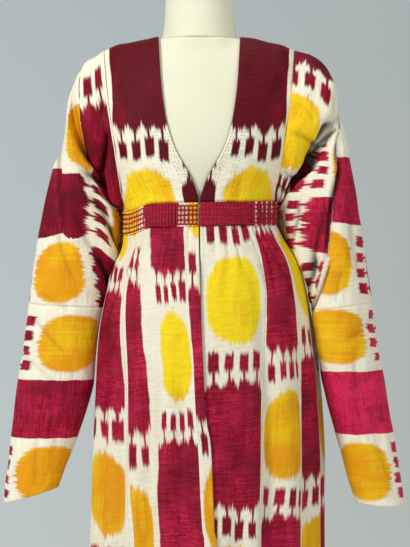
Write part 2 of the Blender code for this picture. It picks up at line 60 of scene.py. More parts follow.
# Rows of the arm tables where the sleeve begins, where the shoulder's crease lies, where
# the two widths of the sleeve meet, and where it ends
ARMHOLE_ROW = {"l": 3.0, "r": 2.4}
CREASE_ROW = 3.4
SLEEVE_SEAM_ROW = 8.0
CUFF_ROW = 13.0
CREASE_DEPTH = 0.34  # the shoulder's crease: share of the sleeve's depth,
CREASE_SPREAD = 0.42  # and half its width in rows


def columns(names, rows):
    """A table's columns by name, in metres. Shares, rows and turns (radians) that stand
    beside the lengths are written in thousandths."""
    values = np.array(rows, dtype=float) * MM
    return {name: values[:, place] for place, name in enumerate(names.split())}


def named_rows(names, rows):
    """A table's rows, each with its values by name."""
    return [dict(zip(names.split(), row)) for row in rows]


BODY = columns("z half_width front back", [
    (1100, 124, 101, 93),
    (1150, 126, 102, 93),
    (1180, 138, 107, 96),
    (1220, 155, 113, 101),
    (1260, 168, 114, 104),
    (1300, 176, 107, 104),
    (1340, 178, 94, 98),
    (1370, 172, 81, 91),
    (1390, 163, 70, 84),
    (1398, 157, 64, 79),
    (1406, 139, 59, 75),
    (1412, 115, 56, 72),
    (1417, 91, 54, 69),
    (1420, 67, 52, 67),
])
HIPS = columns("z half_width front back", [
    (800, 120, 86, 90),
    (804, 127, 92, 96),
    (850, 136, 99, 106),
    (920, 139, 100, 109),
    (990, 133, 97, 102),
    (1050, 119, 92, 89),
    (1090, 115, 92, 84),
    (1130, 116, 94, 85),
    (1152, 119, 96, 87),
    (1180, 130, 101, 90),
])
NECKLINE = columns("z half_width", [
    (1140, 0.6),
    (1160, 3.5),
    (1190, 15),
    (1232, 38),
    (1270, 51),
    (1310, 58),
    (1347, 62),
    (1404, 66),
    (1420, 67),
])
SIDE_SEAM = columns("z x", [
    (1140, 122),
    (1180, 128),
    (1220, 134),
    (1260, 140),
    (1300, 146),
    (1340, 151),
    (1398, 157),
])
ARM_COLUMNS = "top_x top_z bottom_x bottom_z depth forward bow lean"
ARM_LEFT = columns(ARM_COLUMNS, [
    (157, 1398, 124, 1149, 66, 0, 0, 0),
    (183, 1390, 129, 1147, 66, 0, 6, 0),
    (205, 1375, 132, 1144, 62, 0, 12, 0),
    (218, 1351, 135, 1139, 58, 1, 17, 100),
    (231, 1298, 140, 1126, 57, 3, 12, 250),
    (243, 1235, 144, 1102, 56, 5, 4, 350),
    (254, 1172, 155, 1070, 54, 7, 0, 300),
    (266, 1100, 169, 1031, 52, 9, 0, 0),
    (284, 984, 186, 973, 49, 12, 0, -300),
    (296, 902, 195, 902, 47, 14, 0, -300),
    (304, 859, 202, 856, 45, 15, 0, -250),
    (317, 770, 223, 777, 41, 16, 0, -150),
    (327, 711, 239, 716, 38, 17, 0, -100),
    (335, 653, 257, 657, 36, 18, 0, 0),
])
ARM_RIGHT = columns(ARM_COLUMNS, [
    (157, 1398, 124, 1144, 66, 0, 0, 0),
    (173, 1386, 128, 1142, 66, 0, 7, 0),
    (188, 1378, 130, 1138, 62, 0, 15, 0),
    (198, 1357, 132, 1132, 57, 1, 22, 150),
    (213, 1318, 135, 1120, 55, 3, 16, 300),
    (223, 1258, 136, 1098, 53, 5, 6, 350),
    (239, 1202, 140, 1070, 50, 7, 0, 300),
    (261, 1105, 150, 1031, 45, 9, 0, 200),
    (279, 983, 162, 976, 40, 12, 0, 0),
    (290, 905, 171, 906, 37, 14, 0, 0),
    (297, 861, 175, 849, 36, 15, 0, 0),
    (307, 765, 201, 768, 34, 16, 0, 0),
    (314, 710, 223, 709, 32, 17, 0, 0),
    (320, 657, 232, 683, 31, 18, 0, 0),
])
SKIRT = columns("z right left front back", [
    (1108, 123, 125, 102, 94),
    (1085, 127, 137, 110, 102),
    (1050, 141, 159, 121, 113),
    (1000, 152, 176, 132, 124),
    (940, 164, 188, 142, 133),
    (860, 171, 200, 150, 142),
    (740, 178, 209, 157, 150),
    (580, 184, 210, 163, 157),
    (180, 200, 218, 176, 172),
])
SKIRT_SEAMS = columns("z right left", [
    (1147, 1117, 716),
    (1108, 1117, 716),
    (1050, 977, 663),
    (920, 838, 590),
    (700, 698, 510),
    (580, 628, 480),
    (180, 540, 436),
])
FOLDS = named_rows("angle_deg depth_mm spread_deg start_mm", [
    (-173, 15, 6.5, 1000),
    (-152, 21, 8.0, 1060),
    (-129, 13, 6.0, 960),
    (-108, 22, 8.5, 1050),
    (-86, 12, 6.0, 940),
    (-66, 17, 7.0, 1040),
    (-46, 14, 6.0, 1070),
    (-27, 17, 6.5, 1080),
    (-8, 10, 5.0, 1060),
    (17, 9, 6.0, 900),
    (33, 19, 6.0, 1080),
    (58, 16, 7.0, 1040),
    (82, 20, 8.0, 1060),
    (103, 12, 6.0, 930),
    (123, 22, 8.0, 1050),
    (146, 14, 6.5, 980),
    (167, 19, 7.0, 1060),
])
FOLD_FADE = 320 * MM  # each fold grows to its depth over this height
OVERLAP = columns("z x", [
    (180, 31),
    (580, 27),
    (640, 23),
    (760, 18),
    (820, 10),
    (990, 2),
    (1108, -1),
])
OVERLAP_LIFT = 5 * MM  # the upper front stands off the lower one,
OVERLAP_SPREAD = math.radians(16)  # this far back from its edge,
OVERLAP_GROWTH = 100 * MM  # and over this height below the heading

# ======== the ikat cloth's repeat
COLUMN = 102 * MM  # width of one warp-dyed column
REPEAT = 456 * MM  # its repeat along the warp; neighbours lie half a repeat on
TO_MM = 1000.0  # the shaders count in mm

# Smooth noises of the cloth: changes for each degree or metre across and up, and a seed
RIPPLES = {
    "gather_wander": (1 / 9, 12, 3),
    "gather_height": (1 / 7, 0, 8),
    "skirt": (1 / 11, 7, 5),
    "body": (45, 38, 31),
    "body_gather": (30, 9, 6),
    "heading_wander": (1 / 3, 3, 4),
    "heading_height": (1 / 2.2, 6, 9),
    "heading_swell": (1 / 5, 2, 2),
    "arm_broad": (1, 1, 11),
    "arm_fine": (1, 1, 21),
}


# ======== small helpers
def smooth_step(value):
    value = np.clip(value, 0.0, 1.0)
    return value * value * (3 - 2 * value)


def along(column, row):
    """A column's value at fractional rows, on a smooth curve through its rows."""
    row = np.clip(np.asarray(row, dtype=float), 0, len(column) - 1)
    slope = np.gradient(column)
    start = np.minimum(row.astype(int), len(column) - 2)
    part = row - start
    left = column[start] * (1 + 2 * part) * (1 - part) ** 2
    right = column[start + 1] * part ** 2 * (3 - 2 * part)
    lean_out = slope[start] * part * (1 - part) ** 2
    lean_in = slope[start + 1] * part ** 2 * (1 - part)
    return left + right + lean_out - lean_in


CURVE_SAMPLES = 600  # of a table's curve, between which it is straight


def at_height(table, name, height):
    """A column's value at a height; the table's rows go up or down in z."""
    rows = np.linspace(0, len(table["z"]) - 1, CURVE_SAMPLES)
    heights = along(table["z"], rows)
    values = along(table[name], rows)
    if heights[0] > heights[-1]:
        heights = heights[::-1]
        values = values[::-1]
    return np.interp(height, heights, values)


def read_off(table, place):
    """The second column of a table at a place in its first one, on straight lines."""
    places, values = table.values()
    return np.interp(place, places, values)


def signed_power(value, power):
    return np.sign(value) * np.abs(value) ** power


def unit(vector):
    return vector / np.maximum(np.linalg.norm(vector, axis=-1, keepdims=True), 1e-9)


SCATTER = (127.1, 311.7, 74.7, 43758.5453)  # odd factors that scatter a cell's number


def ripple(name, x, y):
    """One of the smooth noises, from -1 to 1, over the plane."""
    often_x, often_y, seed = RIPPLES[name]

    def corner(i, j):
        turned = np.sin(i * SCATTER[0] + j * SCATTER[1] + seed * SCATTER[2]) * SCATTER[3]
        return (turned - np.floor(turned)) * 2 - 1
    x = x * often_x
    y = y * often_y
    i = np.floor(x)
    j = np.floor(y)
    s = smooth_step(x - i)
    t = smooth_step(y - j)
    low = corner(i, j) * (1 - s) + corner(i + 1, j) * s
    high = corner(i, j + 1) * (1 - s) + corner(i + 1, j + 1) * s
    return low * (1 - t) + high * t


def distances(points, axis):
    """Arc length through a grid of points along one of its axes, from 0."""
    steps = np.linalg.norm(np.diff(points, axis=axis), axis=-1)
    start = np.zeros_like(np.take(steps, [0], axis=axis))
    return np.concatenate([start, np.cumsum(steps, axis=axis)], axis=axis)


def normals(points, wrap=False):
    """Unit normals of a grid: across the second axis, then up the first one."""
    if wrap:
        padded = np.concatenate([points[:, -2:-1], points, points[:, 1:2]], axis=1)
        across = padded[:, 2:] - padded[:, :-2]
    else:
        across = np.gradient(points, axis=1)
    return unit(np.cross(across, np.gradient(points, axis=0)))


def placed(name, data):
    """A new object in the scene."""
    made = bpy.data.objects.new(name, data)
    bpy.context.scene.collection.objects.link(made)
    return made


def quads(rows, cols, flip):
    """Rows and columns of the four corners of each quad of a grid."""
    row, col = np.meshgrid(np.arange(rows - 1), np.arange(cols - 1), indexing="ij")
    row = row.ravel()
    col = col.ravel()
    corners = [(row, col), (row, col + 1), (row + 1, col + 1), (row + 1, col)]
    return corners[::-1] if flip else corners


def grid_mesh(name, points, corners):
    """A mesh of quads. Where a grid wraps, points leaves its repeated last column out."""
    cols = points.shape[1]
    index = np.stack([r * cols + c % cols for r, c in corners], axis=1)
    mesh = bpy.data.meshes.new(name)
    mesh.vertices.add(points.size // 3)
    mesh.vertices.foreach_set("co", points.ravel())
    mesh.loops.add(index.size)
    mesh.loops.foreach_set("vertex_index", index.ravel().astype(np.int32))
    mesh.polygons.add(len(index))
    mesh.polygons.foreach_set("loop_start", np.arange(0, index.size, 4, dtype=np.int32))
    mesh.polygons.foreach_set("loop_total", np.full(len(index), 4, dtype=np.int32))
    return mesh


def grid_piece(name, points, loom, finish, dye, wrap=False, flip=False, weave=None, shade=0.0):
    """A sheet through a grid of points. Its UV maps hold the pattern's coordinates, how
    far it is dyed with its maroon's tone, its weave's coordinates, and its darkening
    (painted shade in its creases, an even darkening on the skirt) with its yellow's tone."""
    corners = quads(*points.shape[:2], flip)
    mesh = grid_mesh(name, points[:, :-1] if wrap else points, corners)
    if weave is None:
        weave = np.stack([distances(points, 1), distances(points, 0)], axis=-1)
    maps = {
        "loom": (loom[..., 0], loom[..., 1]),
        "dye": (loom[..., 2], dye[0]),
        "weave": (weave[..., 0], weave[..., 1]),
        "wear": (shade, dye[1]),
    }
    for label, pair in maps.items():
        values = np.stack([np.broadcast_to(part, points.shape[:2]) for part in pair], axis=-1)
        uv = np.stack([values[r, c] for r, c in corners], axis=1)
        mesh.uv_layers.new(name=label).data.foreach_set("uv", uv.ravel())
    mesh.update(calc_edges=True)
    mesh.validate()
    mesh.shade_smooth()
    mesh.materials.append(finish)
    made = placed(name, mesh)
    wall = made.modifiers.new("wall", "SOLIDIFY")
    wall.thickness = CLOTH
    wall.offset = -1
    return made


# The waist sags beside the wearer's right arm: by how much, and where it begins and ends
SAG = 12 * MM
SAG_ACROSS = columns("x share", [
    (-300, 0), (-165, 0), (-138, 1000), (-118, 1000), (-74, 0), (300, 0),
])
SAG_UP = columns("z share", [
    (0, 0), (985, 0), (1090, 1000), (1150, 1000), (1235, 0), (1600, 0),
])


def sagged(points):
    """Points of the waist, moved down where it sags."""
    across = smooth_step(read_off(SAG_ACROSS, points[..., 0]))
    up = smooth_step(read_off(SAG_UP, points[..., 2]))
    return points - (SAG * across * up)[..., None] * np.array([0.0, 0.0, 1.0])


# ======== surfaces of the robe
SHOULDER_FIRST_ROW = 6  # the body table's rows from here on make the shoulder
SHOULDER_SAMPLES = 400
NECK_SHARE = 5 / 12  # how much of the back's half width the neck takes
EVEN_START = 3  # the sleeve's steps are even round it from this row on,
EVEN_ROWS = 3  # after so many rows,
SHOULDER_ROWS = 2.5  # and the armhole's line has run out after these
BOW_LOW = 0.4  # the sleeve's outer face bows out more in its upper half
BOW_GROWTH = 1.2


def waist_height(x):
    return WAIST_TOP + WAIST_TILT * x


def body_depth(x, z, face):
    share = np.clip(np.abs(x) / at_height(BODY, "half_width", z), 0, 1)
    return at_height(BODY, face, z) * (1 - share ** ROUNDNESS) ** (1 / ROUNDNESS)


def shoulder_height(x):
    rows = np.linspace(SHOULDER_FIRST_ROW, len(BODY["z"]) - 1, SHOULDER_SAMPLES)
    return np.interp(np.abs(x), along(BODY["half_width"], rows)[::-1], along(BODY["z"], rows)[::-1])


def body_point(x, z, face):
    depth = body_depth(x, z, face)
    return np.stack([x, -depth if face == "front" else depth, z], axis=-1)


def rise(row):
    return np.sin(math.pi / 2 * row / BODY_ROWS)


def side_seam_point(side, row, face):
    foot = waist_height(side * WAIST_SEAM_X) + SEAM_GAP
    z = foot + (shoulder_height(SHOULDER_SEAM_X) - foot) * rise(row)
    x = np.where(row < BODY_ROWS, at_height(SIDE_SEAM, "x", z), SHOULDER_SEAM_X)
    return body_point(side * x, z, face)


def front_surface(side, share, row):
    """Front of the body panel: share 0 is the neckline and 1 the side seam."""
    inner_foot = waist_height(0) + SEAM_GAP
    inner_z = inner_foot + (shoulder_height(NECK_POINT_X) - inner_foot) * rise(row)
    inner_x = at_height(NECKLINE, "half_width", inner_z)
    outer_x = np.abs(side_seam_point(side, row, "front")[..., 0])
    x = side * (inner_x + (outer_x - inner_x) * share)
    top_x = NECK_POINT_X + (SHOULDER_SEAM_X - NECK_POINT_X) * share
    foot = waist_height(side * WAIST_SEAM_X * share) + SEAM_GAP
    z = foot + (shoulder_height(top_x) - foot) * rise(row)
    return body_point(x, z, "front")


def back_surface(share, row):
    """Back of the body panel: share -1 is the right side seam and 1 the left one."""
    steps = np.abs(share)
    past = np.clip((steps - NECK_SHARE) / (1 - NECK_SHARE), 0, 1)
    top_x = np.where(
        steps <= NECK_SHARE,
        NECK_POINT_X * steps / NECK_SHARE,
        NECK_POINT_X + (SHOULDER_SEAM_X - NECK_POINT_X) * past,
    )
    side = np.where(share < 0, -1, 1)
    top_z = shoulder_height(np.maximum(top_x, NECK_POINT_X))
    foot_x = WAIST_SEAM_X * steps
    seam_x = np.abs(side_seam_point(1, row, "back")[..., 0])
    blend = rise(row)
    x = foot_x + (top_x - foot_x) * blend
    x = x + (seam_x - (WAIST_SEAM_X + (SHOULDER_SEAM_X - WAIST_SEAM_X) * blend)) * steps
    foot = waist_height(side * foot_x) + SEAM_GAP
    z = foot + (top_z - foot) * blend
    return body_point(side * x, z, "back")


def underarm_point(side, step):
    """The seam under the arm, from the front seam's foot (step 0) to the back's (step 1)."""
    front, back = (side_seam_point(side, np.array(0.0), face)[1] for face in ("front", "back"))
    y = (front + back) / 2 + (front - back) / 2 * np.cos(math.pi * step)
    x = side * (WAIST_SEAM_X + (BODY["half_width"][1] - WAIST_SEAM_X) * np.sin(math.pi * step))
    return np.stack([x, y, waist_height(x) + SEAM_GAP], axis=-1)


def seam_phase(row):
    """Where on a sleeve's section a row of the side seam lies, from the top (0)."""
    foot_share = (1 + math.cos(UNDERARM_PHASE)) / 2
    return np.arccos(2 * (foot_share + (1 - foot_share) * rise(row)) - 1)


def armhole_point(side, place):
    """The seam round the side panel's inner edge, and its phase on a section."""
    front_row = np.clip(BODY_ROWS - place, 0, BODY_ROWS)
    back_row = np.clip(place - BODY_ROWS - UNDERARM_STEPS, 0, BODY_ROWS)
    step = np.clip((place - BODY_ROWS) / UNDERARM_STEPS, 0, 1)
    front = side_seam_point(side, front_row, "front")
    back = side_seam_point(side, back_row, "back")
    under_phase = UNDERARM_PHASE + (TURN - 2 * UNDERARM_PHASE) * step
    faces = [place <= BODY_ROWS, place >= BODY_ROWS + UNDERARM_STEPS]
    point = np.select([face[..., None] for face in faces], [front, back], underarm_point(side, step))
    phase = np.select(faces, [seam_phase(front_row), TURN - seam_phase(back_row)], under_phase)
    return point, phase


def arm_surface(table, side, row, place):
    """Side panel and sleeve; place runs round from the top, over the front."""
    seam, first_phase = armhole_point(side, place)
    even_phase = TURN * place / RING
    phase = first_phase + (even_phase - first_phase) * smooth_step((row - EVEN_START) / EVEN_ROWS)
    now = {name: along(table[name], row) for name in table}
    share = 0.5 + 0.5 * np.cos(phase)
    shift_x, shift_z = (
        share * (now["top_" + way] - table["top_" + way][0])
        + (1 - share) * (now["bottom_" + way] - table["bottom_" + way][0]) for way in "xz"
    )
    start = seam + np.stack([side * shift_x, 0 * shift_x, shift_z], axis=-1)
    leaning = 0.5 + 0.5 * np.cos(phase - now["lean"])
    span_x = now["top_x"] - now["bottom_x"]
    span_z = now["top_z"] - now["bottom_z"]
    bow = now["bow"] * 4 * leaning * (1 - leaning) * (BOW_LOW + BOW_GROWTH * leaning)
    bow = bow / np.hypot(span_x, span_z)
    x = now["bottom_x"] + span_x * leaning + span_z * bow
    z = now["bottom_z"] + span_z * leaning - span_x * bow
    nearness = np.exp(-((row - CREASE_ROW) / CREASE_SPREAD) ** 2)
    depth = now["depth"] * (1 - CREASE_DEPTH * nearness * np.sin(phase) ** 2)
    y = -now["forward"] - depth * np.sin(phase)
    section = np.stack([side * x, y, z], axis=-1)
    return start + (section - start) * smooth_step(row / SHOULDER_ROWS)[..., None]


def skirt_radius(first, names, height):
    """The skirt's half size at a height: the first named column's where first is true."""
    one, other = (at_height(SKIRT, name, height) for name in names.split())
    return np.where(first, one, other)


def skirt_section(angle, height):
    side = skirt_radius(np.sin(angle) >= 0, "left right", height)
    face = skirt_radius(np.cos(angle) >= 0, "front back", height)
    x = side * signed_power(np.sin(angle), 2 / ROUNDNESS)
    y = -face * signed_power(np.cos(angle), 2 / ROUNDNESS)
    return np.stack([x, y], axis=-1)


def fold_depth(angle, height):
    depth = 0
    for fold in FOLDS:
        turn = (np.degrees(angle) - fold["angle_deg"] + 180) % 360 - 180
        grown = smooth_step((fold["start_mm"] * MM - height) / FOLD_FADE)
        depth = depth + fold["depth_mm"] * MM * grown * np.exp(-(turn / fold["spread_deg"]) ** 2)
    return depth


# Gathers below the heading: fine ones, and broad ones where the fine merge and die out.
# Each kind grows from the lower height to the upper one.
GATHERS = named_rows("pitch_deg depth_mm wander_deg phase low_mm high_mm", [
    (4.1, 1.7, 3.6, 0.0, 1040, 1108),
    (9.3, 2.6, 5.4, 0.7, 930, 1075),
])
GATHER_MERGING = 0.6  # the broad ones lose this share where the fine are full
GATHER_UNEVENNESS = 0.3
SKIRT_WRINKLE = 1.1 * MM


def gather_wave(angle, height):
    degrees = np.degrees(angle)
    wander = ripple("gather_wander", degrees, height)
    uneven = 1 - GATHER_UNEVENNESS + GATHER_UNEVENNESS * ripple("gather_height", degrees, height)
    wave = 0.0
    shown = 1.0
    for gather in GATHERS:
        rising = (height / MM - gather["low_mm"]) / (gather["high_mm"] - gather["low_mm"])
        grown = smooth_step(rising)
        turns = (degrees + wander * gather["wander_deg"]) / gather["pitch_deg"]
        wave = wave + gather["depth_mm"] * MM * np.sin(turns * TURN + gather["phase"]) * grown * shown
        shown = 1 - GATHER_MERGING * grown
    return wave * uneven


def skirt_surface(angle, height, lift):
    section = skirt_section(angle, height)
    radius = np.linalg.norm(section, axis=-1)
    wrinkle = SKIRT_WRINKLE * ripple("skirt", np.degrees(angle), height)
    now = radius - fold_depth(angle, height) + gather_wave(angle, height) + lift + wrinkle
    section = section * (now / radius)[..., None]
    foot_share = (height - HEM) / (SKIRT["z"][0] - HEM)
    z = height + WAIST_TILT * section[..., 0] * foot_share
    return np.concatenate([section, z[..., None]], axis=-1)


def overlap_edge(height):
    reach = at_height(OVERLAP, "x", height) / at_height(SKIRT, "left", height)
    return np.arcsin(signed_power(reach, ROUNDNESS / 2))


# ======== shader helpers
def feed(tree, node, inputs):
    """Links each input of a node to a value, or sets it to a constant."""
    for place, part in inputs.items():
        if isinstance(part, Value):
            tree.links.new(part.socket, node.inputs[place])
        else:
            node.inputs[place].default_value = part


def added(tree, kind, output, inputs, **settings):
    """Adds a node with its settings and inputs, and gives one of its outputs."""
    node = tree.nodes.new("ShaderNode" + kind)
    for name, value in settings.items():
        setattr(node, name, value)
    feed(tree, node, inputs)
    return Value(tree, node.outputs[output])


def operation(kind):
    """A method of Value that adds a Math node of this kind."""
    def method(self, *others):
        return self.math(kind, *others)
    return method


class Value:
    """An output in a node tree, with arithmetic that adds Math nodes."""

    def __init__(self, tree, socket):
        self.tree = tree
        self.socket = socket

    def math(self, kind, *others, clamp=False):
        inputs = dict(enumerate((self,) + others))
        return added(self.tree, "Math", 0, inputs, operation=kind, use_clamp=clamp)

    __add__ = __radd__ = operation("ADD")
    __sub__ = operation("SUBTRACT")
    __mul__ = __rmul__ = operation("MULTIPLY")
    __truediv__ = operation("DIVIDE")
    floor = operation("FLOOR")
    abs = operation("ABSOLUTE")
    power = operation("POWER")
    larger = operation("MAXIMUM")
    sine = operation("SINE")
    cosine = operation("COSINE")

    def __rsub__(self, other):
        return self * -1 + other

    def clamped(self):
        return self.math("ADD", 0.0, clamp=True)

    def centred(self, period):
        """Wraps the value into a range of one period with 0 at its middle."""
        return self.math("WRAP", period / 2, -period / 2)

    def edge(self, softness):
        """0 below -softness and 1 above +softness."""
        limits = {"Value": self, "From Min": -softness, "From Max": softness}
        return added(self.tree, "MapRange", "Result", limits, interpolation_type="SMOOTHSTEP")


def combine(tree, x, y):
    return added(tree, "CombineXYZ", 0, {0: x, 1: y})


def parts_of(tree, vector):
    """The three coordinates of a vector."""
    node = tree.nodes.new("ShaderNodeSeparateXYZ")
    feed(tree, node, {0: vector})
    return [Value(tree, output) for output in node.outputs]


def map_parts(tree, name):
    """The two coordinates of a UV map."""
    return parts_of(tree, added(tree, "UVMap", "UV", {}, uv_map=name))[:2]


def noise(tree, x, y, detail):
    """Smooth noise from 0 to 1 over a plane."""
    inputs = {"Vector": combine(tree, x, y), "Scale": 1.0, "Detail": detail, "Roughness": 0.5}
    return added(tree, "TexNoise", "Fac", inputs, noise_dimensions="2D")


def object_noise(tree, scale, detail=3.0, stretch=(1, 1, 1)):
    """Noise in the object's own coordinates, in metres."""
    where = added(tree, "TexCoord", "Object", {})
    spread = added(tree, "Mapping", "Vector", {"Vector": where, "Scale": stretch})
    return added(tree, "TexNoise", "Fac", {"Vector": spread, "Scale": scale, "Detail": detail})


def speck(tree, x, y):
    """White noise from 0 to 1, one value for each pair of x and y."""
    inputs = {"Vector": combine(tree, x, y)}
    return added(tree, "TexWhiteNoise", "Value", inputs, noise_dimensions="2D")


def mix_colour(tree, share, first, second):
    inputs = {"Factor": share, "A": first, "B": second}
    return added(tree, "Mix", "Result", inputs, data_type="RGBA")


def bump(tree, height, distance, strength):
    inputs = {"Height": height, "Distance": distance, "Strength": strength}
    return added(tree, "Bump", "Normal", inputs)


def new_material(name):
    made = bpy.data.materials.new(name)
    made.use_nodes = True
    return made, made.node_tree, made.node_tree.nodes["Principled BSDF"]


# ======== the ikat cloth
CREAM = (0.90, 0.85, 0.68, 1.0)
CREAM_WARM = (0.82, 0.71, 0.50, 1.0)
YELLOW = (0.95, 0.70, 0.012, 1.0)
YELLOW_DEEP = (0.80, 0.33, 0.004, 1.0)
MAROON = (0.270, 0.001, 0.016, 1.0)
MAROON_BRIGHT = (0.66, 0.020, 0.085, 1.0)
MAROON_DARK = (0.080, 0.001, 0.006, 1.0)

# The pattern's shapes at their least, in mm: a bar and an oval lie in turn along each
# column, with a row of tufts beyond each end of the bar, on stems that rise from it
BAR_HALF_LENGTH = 97.0
BAR_HALF_WIDTH = 46.5
OVAL_HALF_LENGTH = 69.0
OVAL_HALF_WIDTH = 43.5
OVAL_POWERS = (2.5, 2.4)  # across and along; 2 would be an ellipse
TUFT_PLACE = 124.0  # from the bar's middle
TUFT_PITCH = 22.5
TUFT_ROW_HALF_WIDTH = 47.5
TUFT_HALF_LENGTH = 13.0
TUFT_HALF_WIDTH = 6.2
TUFT_LEAN = 0.10
TUFT_TAPER = 0.02
STEM_HALF_WIDTH = 1.5
STEM_FOOT = 88.0  # where the stems begin and end, from the bar's middle
STEM_TOP = 129.0
BAR_CROWN = 0.003  # its ends are rounded, by the square of the distance

# How far the dye runs at the edge of each shape
SOFT = {"bar_end": 5.5, "bar_side": 0.9, "tuft_end": 4.8, "tuft_side": 1.2, "stem_end": 3.0,
        "stem_side": 0.9, "column": 1.0, "oval": 0.17}
# How much longer, wider or further out a shape is where its own random number is 1
EXTRA = {"bar_end": 6.0, "mound": 4.5, "tuft_place": 9.0, "tuft_end": 3.5, "tuft_side": 2.0,
         "stem_side": 0.8}
# How much of the column's waver the bars, tufts and ovals follow
WAVER = {"size": 6.0, "length": 34.0, "bar": 0.6, "tuft": 0.5, "oval": 0.7}
TUFT_CALM = 0.6  # the tufts slip less than the bars
COLUMN_SEED = 7.0  # steps that give each column other random numbers,
TUFT_SEED = 5.0
OTHER_SEED = (0.37, 0.61)  # and each tuft a second one

# Threads and bundles that slip along the warp as one, and slower drifts of the pattern:
# size across and along (mm) and how far they take it (mm)
THREAD_SLIPS = named_rows("width length start reach", [
    (1.5, 60.0, 0.0, 4.5),
    (4.1, 75.0, 0.3, 4.0),
])
DRIFTS = named_rows("width length detail reach", [
    (3.6, 90.0, 2.0, 20.0),
    (26.0, 70.0, 1.0, 14.0),
])


def slipped(tree, u, v):
    """How far the dye has slipped along the warp, in mm."""
    slip = 0.0
    for row in THREAD_SLIPS:
        thread = (u / row["width"] + row["start"]).floor()
        slip = (speck(tree, thread, (v / row["length"]).floor()) - 0.5) * row["reach"] + slip
    for row in DRIFTS:
        drift = noise(tree, u / row["width"], v / row["length"], row["detail"])
        slip = (drift - 0.5) * row["reach"] + slip
    return slip


def ikat_pattern(tree, u, v):
    """How far each point is dyed maroon and yellow; u runs across the warp and v along
    it from the middle of a bar, both in mm."""
    column = COLUMN * TO_MM
    repeat = REPEAT * TO_MM
    number = (u / column).floor()
    across = u - (number + 0.5) * column
    slip = slipped(tree, u, v)
    from_bar = (v + slip).centred(repeat).abs()
    waver = (noise(tree, v / WAVER["length"], number * COLUMN_SEED, 2.0) - 0.5) * WAVER["size"]

    shifted = across + waver * WAVER["tuft"]
    tuft = (shifted / TUFT_PITCH).floor()
    tuft_x = shifted - (tuft + 0.5) * TUFT_PITCH
    half = (v / (repeat / 2)).floor()
    seed = tuft + number * TUFT_SEED
    own = speck(tree, seed, half)
    other = speck(tree, seed + OTHER_SEED[0], half + OTHER_SEED[1])

    mound = (tuft_x * (TURN / TUFT_PITCH)).cosine() * EXTRA["mound"] + own * EXTRA["bar_end"]
    crown = across.power(2.0) * BAR_CROWN
    bar = (BAR_HALF_LENGTH + mound - crown - from_bar).edge(SOFT["bar_end"])
    bar = bar * (BAR_HALF_WIDTH + waver * WAVER["bar"] - across.abs()).edge(SOFT["bar_side"])

    calm = (v + slip * TUFT_CALM).centred(repeat).abs()
    tuft_y = calm - TUFT_PLACE - own * EXTRA["tuft_place"]
    lean = tuft_x + tuft_y * (other - 0.5) * TUFT_LEAN
    width = TUFT_HALF_WIDTH + other * EXTRA["tuft_side"] - tuft_y * TUFT_TAPER
    length = TUFT_HALF_LENGTH + other * EXTRA["tuft_end"]
    head = (width - lean.abs()).edge(SOFT["tuft_side"]) * (length - tuft_y.abs()).edge(SOFT["tuft_end"])
    reach = (STEM_TOP - from_bar).edge(SOFT["stem_end"])
    reach = reach * (from_bar - STEM_FOOT).edge(SOFT["stem_end"])
    stem_width = STEM_HALF_WIDTH + other * EXTRA["stem_side"]
    stem = (stem_width - tuft_x.abs()).edge(SOFT["stem_side"]) * reach
    inside = (TUFT_ROW_HALF_WIDTH - across.abs()).edge(SOFT["column"])
    maroon = bar.larger(head * inside).larger(stem * inside).clamped()

    oval_x = ((across + waver * WAVER["oval"]) / OVAL_HALF_WIDTH).abs().power(OVAL_POWERS[0])
    oval_y = ((repeat / 2 - from_bar) / OVAL_HALF_LENGTH).abs().power(OVAL_POWERS[1])
    yellow = (1.0 - oval_x - oval_y).edge(SOFT["oval"])
    return maroon, yellow


# Noises of the cloth's colour and relief: size across and along the warp (mm), detail
CLOTH_NOISES = {
    "threads": (0.9, 34.0, 2.0),
    "picks": (26.0, 1.3, 2.0),
    "weft": (42.0, 3.2, 2.0),
    "cloud": (30.0, 45.0, 3.0),
    "streak": (5.0, 80.0, 2.0),
    "broad": (70.0, 90.0, 2.0),
    "mottle": (6.0, 5.0, 3.0),
    "slub": (9.0, 1.6, 3.0),
    "crinkle": (30.0, 7.0, 2.0),
    "crumple": (16.0, 13.0, 3.0),
}
# What the cloth's looks are summed from: a constant, and a share of each noise or tone
BLENDS = {
    "warm": (-0.5, {"cloud": 1.6}),
    "golden": (-1.45, {"streak": 0.8, "weft": 0.5, "broad": 1.5, "yellow_tone": 1.1}),
    "bright": (-2.38, {"streak": 0.6, "mottle": 1.2, "weft": 1.2, "cloud": 1.0, "maroon_tone": 1.3}),
    "dark": (-0.45, {"broad": 2.0, "mottle": 0.9, "maroon_tone": -1.5}),
    "shade": (0.76, {"threads": 0.16, "picks": 0.14, "weft": 0.18}),
    "gloss": (0.44, {"cloud": 0.16, "picks": 0.08}),
    "relief": (0.0, {"rib": 0.05, "slub": 0.40, "threads": 0.12, "crumple": 1.7, "crinkle": 1.7}),
}
MOST_WARM = 0.6  # the cream's and the maroon's second colours at their most
MOST_DARK = 0.85
TONE_SHIFT = 700.0  # pieces of another tone have other noises (mm)
RIB_PITCH = 1.1  # of the weft's ribs (mm)
RELIEF = 0.9 * MM
RELIEF_STRENGTH = 0.9
SHEEN = 0.13


def blend(values, name):
    """A sum of the cloth's noises and tones."""
    total, shares = BLENDS[name]
    for part, share in shares.items():
        total = values[part] * share + total
    return total


